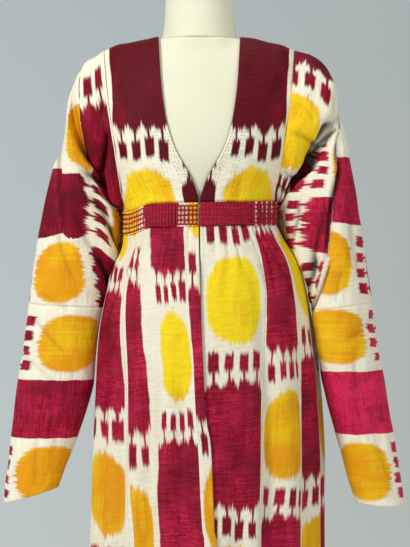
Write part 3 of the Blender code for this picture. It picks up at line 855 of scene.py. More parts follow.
def ikat_material(name, bump_scale=1.0):
    made, tree, shader = new_material(name)
    u, v = map_parts(tree, "loom")
    dyed, maroon_tone = map_parts(tree, "dye")
    painted_shade_and_darkening, yellow_tone = map_parts(tree, "wear")
    maroon, yellow = ikat_pattern(tree, u * TO_MM, v * TO_MM)

    u, v = map_parts(tree, "weave")
    u = u * TO_MM + maroon_tone * TONE_SHIFT
    v = v * TO_MM
    values = {"maroon_tone": maroon_tone, "yellow_tone": yellow_tone}
    values["rib"] = (v / RIB_PITCH * TURN).sine()
    for label, (width, length, detail) in CLOTH_NOISES.items():
        values[label] = noise(tree, u / width, v / length, detail)

    cream = mix_colour(tree, blend(values, "warm").clamped() * MOST_WARM, CREAM, CREAM_WARM)
    gold = mix_colour(tree, blend(values, "golden").clamped(), YELLOW, YELLOW_DEEP)
    wine = mix_colour(tree, blend(values, "bright").clamped(), MAROON, MAROON_BRIGHT)
    wine = mix_colour(tree, blend(values, "dark").clamped() * MOST_DARK, wine, MAROON_DARK)
    colour = mix_colour(tree, yellow * dyed, cream, gold)
    colour = mix_colour(tree, maroon * dyed, colour, wine)
    # Painted shade: the value is lowered by the darkening map, which holds the shade painted into
    # crease troughs and the skirt's even darkening
    shade = blend(values, "shade") * (1.0 - painted_shade_and_darkening)
    feed(tree, shader, {
        "Base Color": added(tree, "HueSaturation", "Color", {"Color": colour, "Value": shade}),
        "Roughness": blend(values, "gloss"),
        "Specular IOR Level": SHEEN,
        "Normal": bump(tree, blend(values, "relief"), RELIEF * bump_scale, RELIEF_STRENGTH),
    })
    return made


# ======== how the pattern lies
# Each piece has a table of columns: the place of a bar's middle along the warp (mm), and
# how much the pattern is drawn together there.
PLAIN = (0, 1.0, 0.0)  # undyed cloth; the last value is how far it is dyed
BAR = (0, 1.0)  # a bar's middle, or an oval's, at the place counted from
OVAL = (REPEAT / MM / 2, 1.0)


def laid(across, along_warp, bars, first):
    """Loom coordinates from a column count and a place along the warp in metres. Each
    piece has a first column of its own, so that no two are dyed alike."""
    number = np.clip(np.floor(across + 1e-6).astype(int), 0, len(bars) - 1)
    table = np.array([bar if bar is PLAIN else bar + (1.0,) for bar in bars])
    middle, drawn, dyed = np.moveaxis(table[number], -1, 0)
    return np.stack([(across + first) * COLUMN, (along_warp - middle * MM) * drawn, dyed], axis=-1)


def numbered(*places):
    """Places where the column count is 0, 1, 2 and so on."""
    return [(place, count) for count, place in enumerate(places)]


def counted(place, knots):
    """A column count from a table of places and counts; places may fall."""
    places, counts = np.array(sorted(knots), dtype=float).T
    return np.interp(place, places, counts)


# ======== creases
# Troughs (depth above 0) and ridges (below 0) on the robe's front, each from one point
# to another as seen from the front: x and z of both ends, depth, half width (mm).
# A ledge is steep on its left (ledge 1) or on its right (ledge -1), soft on the other.
CREASE_NAMES = "x1 z1 x2 z2 depth width ledge"
ARM_CREASES = {
    "r": [
        (-150, 1262, -165, 1184, 15.0, 5.5, 0),
        (-165, 1202, -154, 1164, 12.0, 5.5, 0),
        (-184, 1206, -124, 1134, 11.0, 7, -1),
        (-140, 1236, -122, 1150, 5.0, 6, 1),
        (-166, 1180, -130, 1150, -5.0, 8, 0),
        (-172, 1320, -182, 1220, -4.0, 9, 0),
        (-176, 1370, -178, 1300, 2.5, 9, 0),
        (-196, 1310, -190, 1200, 4.0, 8, 0),
        (-150, 1340, -160, 1280, 3.0, 7, 0),
        (-224, 1300, -221, 1082, 5.5, 7, 1),
        (-178, 1160, -150, 1086, 6.0, 8, 0),
        (-200, 1140, -166, 1030, 4.0, 9, 0),
        (-158, 1120, -140, 1066, 7.0, 7, 0),
        (-168, 1060, -152, 990, 7.0, 8, 0),
        (-230, 1110, -200, 1010, 3.0, 10, 0),
        (-262, 1000, -205, 975, 2.5, 8, 0),
        (-280, 960, -214, 905, 3.0, 9, 0),
        (-296, 900, -235, 858, 2.2, 10, 0),
        (-240, 870, -228, 740, 2.6, 10, 0),
        (-300, 800, -246, 760, 2.4, 9, 0),
        (-270, 780, -262, 680, 2.2, 10, 0),
    ],
    "l": [
        (216, 1282, 184, 1208, 12.0, 8, -1),
        (190, 1226, 150, 1158, 12.0, 8, -1),
        (219, 1276, 186, 1206, 7.0, 4.5, 0),
        (192, 1216, 152, 1164, 10.0, 5, 0),
        (148, 1268, 194, 1240, -6.0, 6, 1),
        (150, 1262, 200, 1232, 4.0, 10, 0),
        (136, 1200, 172, 1160, 5.0, 6, 0),
        (128, 1176, 152, 1150, 6.0, 5, 0),
        (200, 1340, 214, 1280, -3.0, 7, 0),
        (176, 1330, 184, 1270, 2.5, 8, 0),
        (226, 1322, 223, 1200, 7.0, 8, 1),
        (224, 1220, 205, 1050, 10.0, 9, 1),
        (211, 1050, 192, 960, 8.0, 6, -1),
        (196, 1150, 186, 1020, 6.0, 9, 0),
        (172, 1150, 166, 1080, 5.0, 7, 0),
        (186, 1060, 178, 990, 6.0, 8, 0),
        (250, 1160, 262, 1010, 3.0, 11, 0),
        (230, 1040, 222, 980, 3.0, 8, 0),
        (292, 960, 222, 920, 2.8, 9, 0),
        (300, 880, 240, 846, 2.4, 9, 0),
        (262, 930, 250, 760, 2.4, 11, 0),
        (310, 800, 262, 770, 2.2, 9, 0),
        (286, 780, 300, 690, 2.2, 10, 0),
    ],
}
BODY_CREASES = [
    (-124, 1168, -96, 1230, 2.0, 5, 0),
    (-104, 1152, -92, 1200, 2.4, 5, 0),
    (-84, 1150, -80, 1190, 1.8, 4, 0),
    (-64, 1150, -66, 1196, 2.0, 5, 0),
    (-42, 1150, -50, 1180, 1.6, 4, 0),
    (-146, 1360, -120, 1290, 2.2, 9, 0),
    (-100, 1400, -84, 1330, 1.6, 10, 0),
    (124, 1166, 84, 1232, 3.0, 5, 0),
    (122, 1158, 60, 1200, 2.6, 5, 0),
    (110, 1150, 96, 1192, 2.0, 4, 0),
    (90, 1150, 84, 1184, 1.8, 4, 0),
    (64, 1150, 66, 1186, 1.6, 4, 0),
    (38, 1150, 46, 1178, 1.4, 4, 0),
    (140, 1350, 112, 1296, 2.0, 9, 0),
    (96, 1396, 84, 1320, 1.4, 10, 0),
]
CREASE_BEND = 0.05  # they curve by this share of their length
CREASE_REACH = 0.10  # and run past their ends by this share,
CREASE_START = 0.30  # growing and
CREASE_END = 0.35  # dying out over these
CREASE_TURN = 3.0  # the curve's radians along a crease,
CREASE_PHASE = 40  # begun at so many for each metre across the robe
LEDGE_STEEP = 0.9  # a ledge's two sides, in half widths
LEDGE_SOFT = 2.2
# Those of the back are the front's, with their ends moved a little
BACK_SHIFT = {"start": np.array([0.0, 14.0]) * MM, "end": np.array([4.0, 6.0]) * MM}


def crease_shape(fold, aside, narrow):
    """A crease's section: 1 in its middle, 0 beyond its sides."""
    width = fold["width"] * MM
    if not fold["ledge"]:
        return np.exp(-(aside / width / narrow) ** 2)
    away = -aside * fold["ledge"] / width
    soft = np.exp(-(np.maximum(away, 0) / LEDGE_SOFT / narrow) ** 2)
    return smooth_step(away / LEDGE_STEEP + 0.5) * soft


def crease_relief(points, rows, back=False, narrow=1.0):
    """Height of the creases at each point; those of the back mirror the front's."""
    x = points[..., 0]
    z = points[..., 2]
    relief = np.zeros_like(x)
    for fold in named_rows(CREASE_NAMES, rows):
        start = np.array([fold["x1"], fold["z1"]]) * MM
        end = np.array([fold["x2"], fold["z2"]]) * MM
        if back:
            start = start + BACK_SHIFT["start"]
            end = end + BACK_SHIFT["end"]
        length = np.linalg.norm(end - start)
        way = (end - start) / length
        run = ((x - start[0]) * way[0] + (z - start[1]) * way[1]) / length
        bend = CREASE_BEND * length * np.sin(run * CREASE_TURN + start[0] * CREASE_PHASE)
        aside = (x - start[0]) * way[1] - (z - start[1]) * way[0] + bend
        taper = smooth_step((run + CREASE_REACH) / CREASE_START)
        taper = taper * smooth_step((1 + CREASE_REACH - run) / CREASE_END)
        relief = relief - fold["depth"] * MM * taper * crease_shape(fold, aside, narrow)
    return relief * (points[..., 1] > 0 if back else points[..., 1] < 0)


def paired_creases(points, rows, narrow=1.0):
    """Relief of a table's creases, in front and behind."""
    return crease_relief(points, rows, False, narrow) + crease_relief(points, rows, True, narrow)


# ======== pieces of the robe
def seat(piece, slot, *nodes):
    """The piece rides on the frame and stands for these CAD nodes."""
    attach(piece, "root")
    if nodes:
        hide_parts(*nodes)
    return piece


def join(name, parts):
    """One object from several that share a material and a wall."""
    target = parts[0]
    gathered = bmesh.new()
    for part in parts:
        gathered.from_mesh(part.data)
    bmesh.ops.remove_doubles(gathered, verts=gathered.verts, dist=0.05 * MM)
    gathered.to_mesh(target.data)
    gathered.free()
    for part in parts[1:]:
        bpy.data.objects.remove(part, do_unlink=True)
    target.name = name
    target.data.name = name
    return target


BODY_BARS = [(1362, 1.0), (1085, 1.0), (1362, 1.0), (1134, 1.0)]
BODY_STEP = 3.1 * MM  # of its mesh
BODY_HEIGHT = 285 * MM
FRONT_WIDTH = 125 * MM
BACK_WIDTH = 340 * MM
BODY_DYE = (-0.08, 0.30)  # the maroon's and the yellow's tone
BODY_FULLNESS = 1.03  # cloth across for each mm seen from the front
BODY_EDGE_ROWS = 0.6  # creases fade out over these at the shoulder
NECK_TOP = 1420 * MM  # where the neckline meets the shoulder
# The front of each side (1 or -1) and the back (0): which way it faces, first column
BODY_FACES = named_rows("face facing first", [(1, 1, 20), (-1, -1, 40), (0, -1, 20)])
# How much of a column is turned in at the side seams; above, its undyed edge shows
SEAM_EDGE = columns("z width", [
    (1100, 4.5), (1240, 4.5), (1290, 0.5), (1320, -3.5), (1430, -4.5),
])
FORM_GAP = 1.7 * MM  # creases go no deeper, or they would meet the form
BODY_CREASING = 1.5  # the body's creases are this much deeper than their table says
BODY_DENTS = 1.3 * MM
# Small gathers run up the body from the heading, and fade out below their top
BODY_GATHER = {"depth": 0.9 * MM, "pitch": 7.5 * MM, "wander": 3, "top": 1195 * MM, "fade": 40 * MM}


def body_relief(points, outward, edge):
    """Creases that radiate from the heading, and small dents all over."""
    x = points[..., 0]
    z = points[..., 2]
    relief = BODY_CREASING * paired_creases(points, BODY_CREASES)
    relief = relief + BODY_DENTS * ripple("body", x, z)
    gather = BODY_GATHER
    turns = x / gather["pitch"] * TURN + gather["wander"] * ripple("body_gather", x, z)
    shown = smooth_step((gather["top"] - z) / gather["fade"])
    relief = relief + gather["depth"] * shown * np.sin(turns)
    relief = np.where(relief < 0, FORM_GAP * np.tanh(relief / FORM_GAP), relief)
    return sagged(points + outward * (relief * edge)[..., None])


def body_grid(face, facing):
    """A grid over a front or the back, with its creases."""
    start, width = (0, FRONT_WIDTH) if face else (-1, BACK_WIDTH)
    shares = np.linspace(start, 1, int(width / BODY_STEP))
    rows = np.linspace(0, BODY_ROWS, int(BODY_HEIGHT / BODY_STEP))
    share, row = np.meshgrid(shares, rows)
    points = front_surface(face, share, row) if face else back_surface(share, row)
    edge = smooth_step((BODY_ROWS - row) / BODY_EDGE_ROWS)
    return body_relief(points, normals(points) * facing, edge)


def over_shoulder(points):
    """Places along the warp on the back, where it has come over the shoulder."""
    top = shoulder_height(np.maximum(np.abs(points[..., 0]), NECK_POINT_X))
    return 2 * np.minimum(top, NECK_TOP) - points[..., 2]


def build_body(finish):
    """Fronts and back in one cut, folded over the shoulders."""
    parts = []
    grids = {}
    for part in BODY_FACES:
        points = body_grid(part["face"], part["facing"])
        x = np.abs(points[..., 0])
        from_seam = (x[:, -1:] - x) * BODY_FULLNESS
        across = (read_off(SEAM_EDGE, points[..., 2]) + from_seam) / COLUMN
        along_warp = points[..., 2] if part["face"] else over_shoulder(points)
        loom = laid(across, along_warp, BODY_BARS, part["first"])
        flip = part["facing"] < 0
        parts.append(grid_piece("body", points, loom, finish, BODY_DYE, flip=flip))
        grids[part["face"]] = points
    return join("body_panel_cloth", parts), grids


def arm_grid(table, side, first_row, last_row, rows, cols):
    """A stretch of the arm: its grid and each point's arc round from the top."""
    row_line = np.linspace(first_row, last_row, rows)
    start = BODY_ROWS + UNDERARM_STEPS / 2
    place_line = (start + np.linspace(0, RING, cols)) % RING
    place_line[-1] = start
    place, row = np.meshgrid(place_line, row_line)
    points = arm_surface(table, side, row, place)
    round_arc = distances(points, 1)
    top = np.argmin(np.abs(np.linspace(0, RING, cols) - (RING - start)))
    from_top = round_arc - round_arc[:, top:top + 1]
    return points, row, place, from_top


# Each side panel's columns by row, its bars and its first column's number
SIDE_PATTERN = {
    "r": ([(0.0, 0.0), (2.6, 0.60), (3.4, 0.72), (4.6, 0.9)], [(225, 0.8)], 80),
    "l": ([(0.0, 0.38), (2.7, 0.925), (3.4, 1.0), (4.6, 1.1)], [(-45, 1.11), PLAIN], 60),
}
SIDE_MESH = (46, 200)  # rows and columns of its mesh
SIDE_DYE = (0.30, 0.35)
# On the front the sleeve shows the side panel's pattern as far as this row, as if that cloth folded
# over it
FOLD_EDGE = {
    "r": columns("z row", [
        (1150, 2400), (1155, 4500), (1180, 4350), (1220, 3550), (1260, 2800), (1300, 2450),
        (1325, 2300),
    ]),
    "l": columns("z row", [
        (1150, 3000), (1180, 3000), (1220, 3200), (1250, 3500), (1275, 3800), (1300, 3700),
        (1330, 3300), (1370, 3000),
    ]),
}
SHOULDER_BARE = 36 * MM  # undyed over the right shoulder's top

# Painted shade in the creases' troughs: the cloth is coloured darker where a fold would shade it
PAINTED_SHADE_DEPTH = 9 * MM  # a trough of this depth is at its darkest,
PAINTED_SHADE = 0.90  # and so much darker than the cloth beside it
PAINTED_SHADE_NARROWING = 0.5  # the dark line is so much narrower than the trough

WAIST_CLEARANCE = 3.4 * MM  # between a sleeve and the skirt,
GATHER_CLEARANCE = 3.6 * MM  # and so much more beside the gathers,
GATHERS_LEFT = 990 * MM  # which reach down to here on the left
GATHERS_RIGHT = 1076 * MM  # and to here on the right
GATHERS_FADE = 20 * MM  # the clearance grows over this height
PUSH_START = 2.8  # the sleeve is moved out from this row on,
PUSH_ROWS = 0.8  # in full after so many rows


def clear_of_waist(points, row):
    """The sleeve's points, moved out where they come too near the skirt or its heading."""
    x, y, z = np.moveaxis(points, -1, 0)
    width = skirt_radius(x > 0, "left right", z)
    face = skirt_radius(y < 0, "front back", z)
    ratio = np.abs(x / width) ** ROUNDNESS + np.abs(y / face) ** ROUNDNESS
    radius = np.hypot(x, y)
    start = np.where(x > 0, GATHERS_LEFT, GATHERS_RIGHT)
    clearance = WAIST_CLEARANCE + GATHER_CLEARANCE * smooth_step((z - start) / GATHERS_FADE)
    short = radius / ratio ** (1 / ROUNDNESS) + clearance - radius
    push = np.maximum(short, 0) * smooth_step((row - PUSH_START) / PUSH_ROWS) / radius
    return points * (1 + push[..., None] * np.array([1.0, 1.0, 0.0]))


# Soft dents all over a sleeve: the noise and its height, and how often it changes round
# the sleeve and from row to row
ARM_DENTS = named_rows("noise height round row_x row_y", [
    ("arm_broad", 1.6 * MM, 2.3, 0.5, 0.9),
    ("arm_fine", 0.7 * MM, 5, 1.7, -1.1),
])
ARM_EDGE_ROWS = 0.5  # creases fade out over these at both ends
HUG = 17 * MM  # how far the sleeve's inner face leans to the waist
HUG_MOST = 1.1  # of it, where the places below overlap
# Where it leans, in half turns from the top and half widths: in front of its inner face,
# behind it, and from a lower row on at the face itself
HUG_BESIDE = ((0.84, 0.14), (1.17, 0.14))
HUG_UNDER = (1.0, 0.12)
HUG_UNDER_ROW = 5.4
# It grows from a row over some rows, and fades to a share of itself, then to none
HUG_GROWING = (3.0, 0.9)
HUG_EASING = (7.5, 2.4)
HUG_EASED = 0.4
HUG_ENDING = (10.0, 2.5)


def bump_at(value, place, width):
    """1 at a place and 0 away from it."""
    return np.exp(-((value - place) / width) ** 2)


def hug_share(row, half_turns):
    """How much of the lean there is at each point of the sleeve."""
    easing = smooth_step((HUG_EASING[0] - row) / HUG_EASING[1])
    share = smooth_step((row - HUG_GROWING[0]) / HUG_GROWING[1])
    share = share * (HUG_EASED + (1 - HUG_EASED) * easing)
    share = share * smooth_step((HUG_ENDING[0] - row) / HUG_ENDING[1])
    beside = sum(bump_at(half_turns, *spot) for spot in HUG_BESIDE)
    under = smooth_step(row - HUG_UNDER_ROW) * bump_at(half_turns, *HUG_UNDER)
    return share * np.minimum(beside + under, HUG_MOST)


def arm_dents(angle, row):
    """Relief of the dents, whose noises close round the sleeve."""
    relief = 0.0
    for dent in ARM_DENTS:
        x = np.cos(angle) * dent["round"] + row * dent["row_x"]
        y = np.sin(angle) * dent["round"] + row * dent["row_y"]
        relief = relief + dent["height"] * ripple(dent["noise"], x, y)
    return relief


def arm_relief(points, row, place, suffix, side):
    """Listed creases and soft dents; the seams and the cuff keep their line. Also how much
    painted shade darkens the cloth deep in its folds."""
    outward = normals(points, wrap=True)
    middle = points[:, :-1].mean(axis=1)[:, None]
    if np.sum((points - middle) * outward) < 0:
        outward = -outward
    angle = place / RING * TURN
    creases = ARM_CREASES[suffix]
    fade = smooth_step(row / ARM_EDGE_ROWS) * smooth_step((CUFF_ROW - row) / ARM_EDGE_ROWS)
    relief = arm_dents(angle, row) + paired_creases(points, creases)
    bent = points + outward * (relief * fade)[..., None]
    bent[..., 0] -= side * HUG * hug_share(row, angle / math.pi)
    # Painted shade: the deeper a crease's trough, the darker its cloth is coloured
    trough = -paired_creases(points, creases, PAINTED_SHADE_NARROWING)
    painted_shade_and_darkening = PAINTED_SHADE * smooth_step(trough / PAINTED_SHADE_DEPTH)
    return sagged(clear_of_waist(bent, row)), painted_shade_and_darkening * fade


def side_loom(row, from_top, suffix):
    """The warp runs over the shoulder; columns are counted from the body's seam."""
    knots, bars, first = SIDE_PATTERN[suffix]
    loom = laid(counted(row, knots), np.abs(from_top), bars, first)
    if suffix == "r":
        loom[..., 2] *= np.abs(from_top) > SHOULDER_BARE
    return loom


def build_side_panel(side, suffix, table, finish):
    points, row, place, from_top = arm_grid(table, side, 0, ARMHOLE_ROW[suffix], *SIDE_MESH)
    loom = side_loom(row, from_top, suffix)
    points, painted_shade_and_darkening = arm_relief(points, row, place, suffix, side)
    name = "side_panel_cloth_" + suffix
    return grid_piece(name, points, loom, finish, SIDE_DYE, wrap=True, flip=side > 0, shade=painted_shade_and_darkening)


# Sleeves: heights where the columns begin (mm), the bars' middles round the arm, the
# first column's number, and the maroon's and the yellow's tone
SLEEVE_PATTERN = {
    ("upper", "r"): (
        numbered(1425, 1313, 1208, 1092, 976),
        [(-150, 1.0), (-108, 1.0), (28, 1.0), (-84, 1.5)], 100, (0.30, 0.85),
    ),
    ("lower", "r"): (
        numbered(973, 864, 760, 655),
        [(-79, 1.3), (70, 1.0), (-97, 1.25)], 110, (0.52, 0.85),
    ),
    ("upper", "l"): (
        numbered(1426, 1227, 1110, 989),
        [(-150, 1.0), (40, 1.0), (-66, 1.35)], 120, (0.62, 0.80),
    ),
    ("lower", "l"): (
        numbered(983, 879, 767, 656),
        [(-85, 1.3), (70, 1.0), (-76, 1.45)], 130, (0.92, 0.80),
    ),
}
# A tuck down the sleeve hides some cloth. Beyond it (an arc from the top, by height, in
# mm) the columns and bars are others. Above the given height the cloth between the top
# and the tuck is undyed.
TUCKS = {
    "r": (
        columns("z arc", [
            (1000, 122), (1074, 118), (1092, 80), (1120, 70), (1170, 61), (1200, 55),
            (1240, 47), (1300, 45), (1326, 36),
        ]),
        1208,
        numbered(1425, 1319, 1200, 1078, 972),
        [PLAIN, (-108, 1.0), (28, 1.0), (196, 1.5)],
    ),
    "l": (
        columns("z arc", [
            (970, 122), (1000, 115), (1060, 102), (1110, 97), (1160, 88), (1210, 78), (1310, 60),
        ]),
        1227,
        numbered(1426, 1262, 1160, 1058, 950),
        [(252, 1.0), (252, 1.0), (35, 0.85), (47, 1.35)],
    ),
}
TUCK_BARE = 5 * MM  # undyed beside the tuck's lower end,
TUCK_BARE_COLUMN = 3  # which is below this column's start
SLANT = {"r": -0.22, "l": -0.15}  # the columns' slope where the arm bends,
SLANT_PLACE = (1090, 70)  # at this height and about so far above and below it (mm),
SLANT_X = 225  # turned about this distance from the centre (mm)
DROOP = {"r": 0.40, "l": 0.05}  # their slope on the arm's inner face
DROOP_START = 118 * MM
SLEEVE_MESH = {"upper": (128, 162), "lower": (84, 162)}


def sleeve_loom(part, suffix, side, points, row, from_top):
    """The warp runs round the sleeve, so the columns lie across it."""
    knots, bars, first, _ = SLEEVE_PATTERN[(part, suffix)]
    level = points[..., 2] / MM
    if part == "lower":
        return laid(counted(level, knots), from_top, bars, first)
    slope = SLANT[suffix] * bump_at(level, *SLANT_PLACE)
    level = level - side * slope * (points[..., 0] / MM - side * SLANT_X)
    edge, bare_above, inner_knots, inner_bars = TUCKS[suffix]
    limit = at_height(edge, "arc", points[..., 2])
    front = points[..., 1] < 0
    loom = laid(counted(level, knots), from_top, bars, first)
    loom[..., 2] *= ~((level > bare_above) & front & (from_top < limit))
    drooping = DROOP[suffix] * np.maximum(from_top - DROOP_START, 0) / MM
    inner = laid(counted(level + drooping, inner_knots), from_top, inner_bars, first)
    beyond = (from_top > limit) & front
    loom = np.where(beyond[..., None], inner, loom)
    low = level < inner_knots[TUCK_BARE_COLUMN][0]
    loom[..., 2] *= ~((np.abs(from_top - limit) < TUCK_BARE) & low & front)
    folded = (row < at_height(FOLD_EDGE[suffix], "row", points[..., 2])) & front
    return np.where(folded[..., None], side_loom(row, from_top, suffix), loom)


def build_sleeve(part, side, suffix, table, finish):
    ends = (ARMHOLE_ROW[suffix], SLEEVE_SEAM_ROW) if part == "upper" else (SLEEVE_SEAM_ROW, CUFF_ROW)
    points, row, place, from_top = arm_grid(table, side, *ends, *SLEEVE_MESH[part])
    loom = sleeve_loom(part, suffix, side, points, row, from_top)
    weave = np.stack([points[..., 2], from_top], axis=-1)
    points, painted_shade_and_darkening = arm_relief(points, row, place, suffix, side)
    dye = SLEEVE_PATTERN[(part, suffix)][-1]
    name = "sleeve_" + part + "_cloth_" + suffix
    return grid_piece(name, points, loom, finish, dye, wrap=True, flip=side > 0, weave=weave,
                      shade=painted_shade_and_darkening)


# Skirt panels: edges (degrees from the centre front, or a seam), where the pattern's
# columns begin (share of the panel's width, at each height below where they lean, then
# the count), the height of a bar's middle in each column with how much the pattern is
# drawn together, and the maroon's and the yellow's tone
SKIRT_LEVELS = (680 * MM, 890 * MM, 1080 * MM)
SKIRT_PANELS = {
    "side_r": (
        -145, "right",
        [(0, 0.0), (0.25, 1.0), (0.59, 2.0), (1, 3.0)],
        [(910, 1.0), (682, 1.0), (910, 1.0)], (0.56, 0.10),
    ),
    "front_r": (
        "right", "overlap",
        [(0, 0.0), (0.055, 0.04), (0.065, 0.52),
         (0.32, 0.335, 0.266, 0.956), (0.43, 0.575, 0.42, 1.06),
         (0.89, 0.905, 0.835, 1.926), (0.905, 0.92, 0.85, 2.044), (1, 2.3)],
        [(903, 0.8), (676, 1.0), (908, 0.93)], (0.56, 0.10),
    ),
    "front_l": (
        0.5, "left",
        [(0, 0.0), (1, 1.02)],
        [(764, 1.0), (1000, 1.0)], (0.49, 0.0),
    ),
    "side_l": (
        "left", 140,
        [(0, 0.02), (0.23, 1.0), (0.50, 2.0), (0.75, 3.0), (1, 4.0)],
        [(1005, 1.0), (800, 1.0), (1010, 1.0), (780, 1.0)], (0.56, 0.10),
    ),
    "back": (
        140, 215,
        [(0, 0.0), (0.5, 1.0), (1, 2.0)],
        [(980, 1.0), (752, 1.0)], (0.56, 0.10),
    ),
}
SKIRT_TOP = WAIST_TOP - HEADING_HEIGHT - SEAM_GAP
SKIRT_ORDER = list(SKIRT_PANELS)
SKIRT_FIRST = (140, 20)  # the first panel's first column, and the step to the next
HEADING_FIRST = (240, 10)
HEADING_SLIT = -0.5  # degrees where the upper front's heading ends
SKIRT_ROWS = 150
ROW_CROWDING = 1.15  # rows of the mesh are closer near the heading
SKIRT_COLS_PER_DEGREE = 1.15
LOW_YELLOW = 0.72  # the skirt's lower ovals are a deeper yellow,
LOW_YELLOW_FROM = 910 * MM  # from this height
LOW_YELLOW_FADE = 150 * MM
SKIRT_DARKENING = 0.08  # the skirt is a little darker all over


def first_column(name, numbers):
    start, step = numbers
    return start + step * SKIRT_ORDER.index(name)


def panel_edge(edge, height):
    """Angle of a skirt panel's edge at a height."""
    if edge == "overlap":
        return overlap_edge(height)
    if edge == "right":
        return -at_height(SKIRT_SEAMS, edge, height)
    if edge == "left":
        return at_height(SKIRT_SEAMS, edge, height)
    return math.radians(edge) + 0 * height


def heading_edges(name):
    """Angles of a panel's two edges at the heading, in degrees."""
    first, last = SKIRT_PANELS[name][:2]
    ends = (first, HEADING_SLIT if last == "overlap" else last)
    return [math.degrees(float(panel_edge(edge, np.array(WAIST_TOP)))) for edge in ends]


def skirt_loom(name, share, height):
    _, _, knots, bars, _ = SKIRT_PANELS[name]
    count = knots[0][-1]
    for before, after in zip(knots, knots[1:]):
        start, end = (
            np.interp(height, SKIRT_LEVELS, np.broadcast_to(knot[:-1], len(SKIRT_LEVELS)))
            for knot in (before, after)
        )
        count = count + (after[-1] - before[-1]) * np.clip((share - start) / (end - start), 0, 1)
    return laid(count, height, bars, first_column(name, SKIRT_FIRST))


def skirt_grid(name):
    first, last = heading_edges(name)
    shares = np.linspace(0, 1, int((last - first) * SKIRT_COLS_PER_DEGREE) + 2)
    heights = SKIRT_TOP + (HEM - SKIRT_TOP) * np.linspace(0, 1, SKIRT_ROWS) ** ROW_CROWDING
    share, height = np.meshgrid(shares, heights)
    first, last = SKIRT_PANELS[name][:2]
    first_angle = panel_edge(first, height)
    last_angle = panel_edge(last, height)
    angle = first_angle + (last_angle - first_angle) * share
    lift = 0 * angle
    if last == "overlap":
        nearness = smooth_step(1 + (angle - last_angle) / OVERLAP_SPREAD)
        lift = OVERLAP_LIFT * nearness * smooth_step((SKIRT_TOP - height) / OVERLAP_GROWTH)
    return sagged(skirt_surface(angle, height, lift)), share, height


def build_skirt_panel(name, finish):
    points, share, height = skirt_grid(name)
    maroon_tone, yellow_tone = SKIRT_PANELS[name][-1]
    low = smooth_step((LOW_YELLOW_FROM - height) / LOW_YELLOW_FADE)
    dye = (maroon_tone, yellow_tone + LOW_YELLOW * low)
    loom = skirt_loom(name, share, height)
    return grid_piece("skirt_cloth_" + name, points, loom, finish, dye, shade=SKIRT_DARKENING)


STITCH_ROWS = 5
FIRST_STITCH = 0.12  # the first row's place down the heading, as a share
STITCH_SPAN = 0.80  # from the first row to the last
GATHER_DEGREES = 2.6
GATHER_WANDER = 0.45  # degrees
GATHER_MIDDLE = 1.9 * MM  # the gathers' middle and height off the skirt's section,
GATHER_HEIGHT = 1.7 * MM
HEADING_UNEVENNESS = 0.25
PINCH = 0.45  # less by this share where a row of stitches draws them in
HEADING_SWELL = 0.5 * MM
HEADING_ROWS = 25
HEADING_COLS_PER_DEGREE = 4.2
HEADING_DYE = (0.6, 0.5)


def heading_surface(degrees, level, lift=0.0):
    """The smocked heading: gathers pinched by rows of stitches."""
    angle = np.radians(degrees)
    section = skirt_section(angle, SKIRT["z"][0] + 0 * angle)
    radius = np.linalg.norm(section, axis=-1)
    wander = GATHER_WANDER * ripple("heading_wander", degrees, level)
    cell = np.sin((degrees + wander) * TURN / GATHER_DEGREES)
    uneven = 1 + HEADING_UNEVENNESS * (ripple("heading_height", degrees, level) - 1)
    row = (level - FIRST_STITCH) * (STITCH_ROWS - 1) / STITCH_SPAN
    pinch = 0.5 + 0.5 * np.cos(row * TURN)
    relief = (GATHER_MIDDLE + GATHER_HEIGHT * cell * uneven) * (1 - PINCH * pinch)
    relief = relief + HEADING_SWELL * ripple("heading_swell", degrees, level) + lift
    section = section * ((radius + relief) / radius)[..., None]
    z = WAIST_TOP - HEADING_HEIGHT * level + WAIST_TILT * section[..., 0]
    return sagged(np.concatenate([section, z[..., None]], axis=-1))


# The headings' own columns: share of the panel and count, and what each column shows
HEADINGS = {
    "front_r": (
        [(0, 0.06), (0.22, 0.92), (0.32, 1.04), (0.77, 1.95), (0.91, 2.10), (1.0, 2.35)],
        [OVAL, BAR, OVAL],
    ),
    "front_l": ([(0, 0.08), (1.0, 0.60)], [BAR]),
    "side_l": (
        [(0, 0.30), (0.03, 0.95), (0.05, 1.05), (0.09, 1.95), (0.115, 2.05), (0.16, 2.95),
         (0.185, 3.05), (0.24, 3.95), (0.27, 4.05), (0.36, 4.95), (0.40, 5.05), (0.7, 6.0),
         (1.0, 7.0)],
        [BAR] * 6 + [OVAL],
    ),
    "side_r": ([(0, 0.0), (0.35, 1.0), (0.66, 2.0), (1.0, 2.9)], [BAR, OVAL, OVAL]),
    "back": ([(0, 0.0), (0.5, 1.0), (1.0, 2.0)], [OVAL, BAR]),
}


def build_heading(name, finish):
    first, last = heading_edges(name)
    shares = np.linspace(0, 1, int((last - first) * HEADING_COLS_PER_DEGREE) + 2)
    share, level = np.meshgrid(shares, np.linspace(0, 1, HEADING_ROWS))
    points = heading_surface(first + (last - first) * share, level)
    knots, bars = HEADINGS[name]
    height = HEADING_HEIGHT * (0.5 - level)
    loom = laid(counted(share, knots), height, bars, first_column(name, HEADING_FIRST))
    return grid_piece("heading_cloth_" + name, points, loom, finish, HEADING_DYE)


def build_upper(finish):
    """Body, side panels and sleeves."""
    body, grids = build_body(finish)
    seat(body, "ikat_cloth", "body_panel")
    for side, suffix, table in ((1, "l", ARM_LEFT), (-1, "r", ARM_RIGHT)):
        node = "side_panel_" + suffix
        panel = build_side_panel(side, suffix, table, finish)
        seat(panel, "ikat_cloth", node)
        for part in ("upper", "lower"):
            node = "sleeve_" + part + "_" + suffix
            sleeve = build_sleeve(part, side, suffix, table, finish)
            seat(sleeve, "ikat_cloth", node)
    return grids


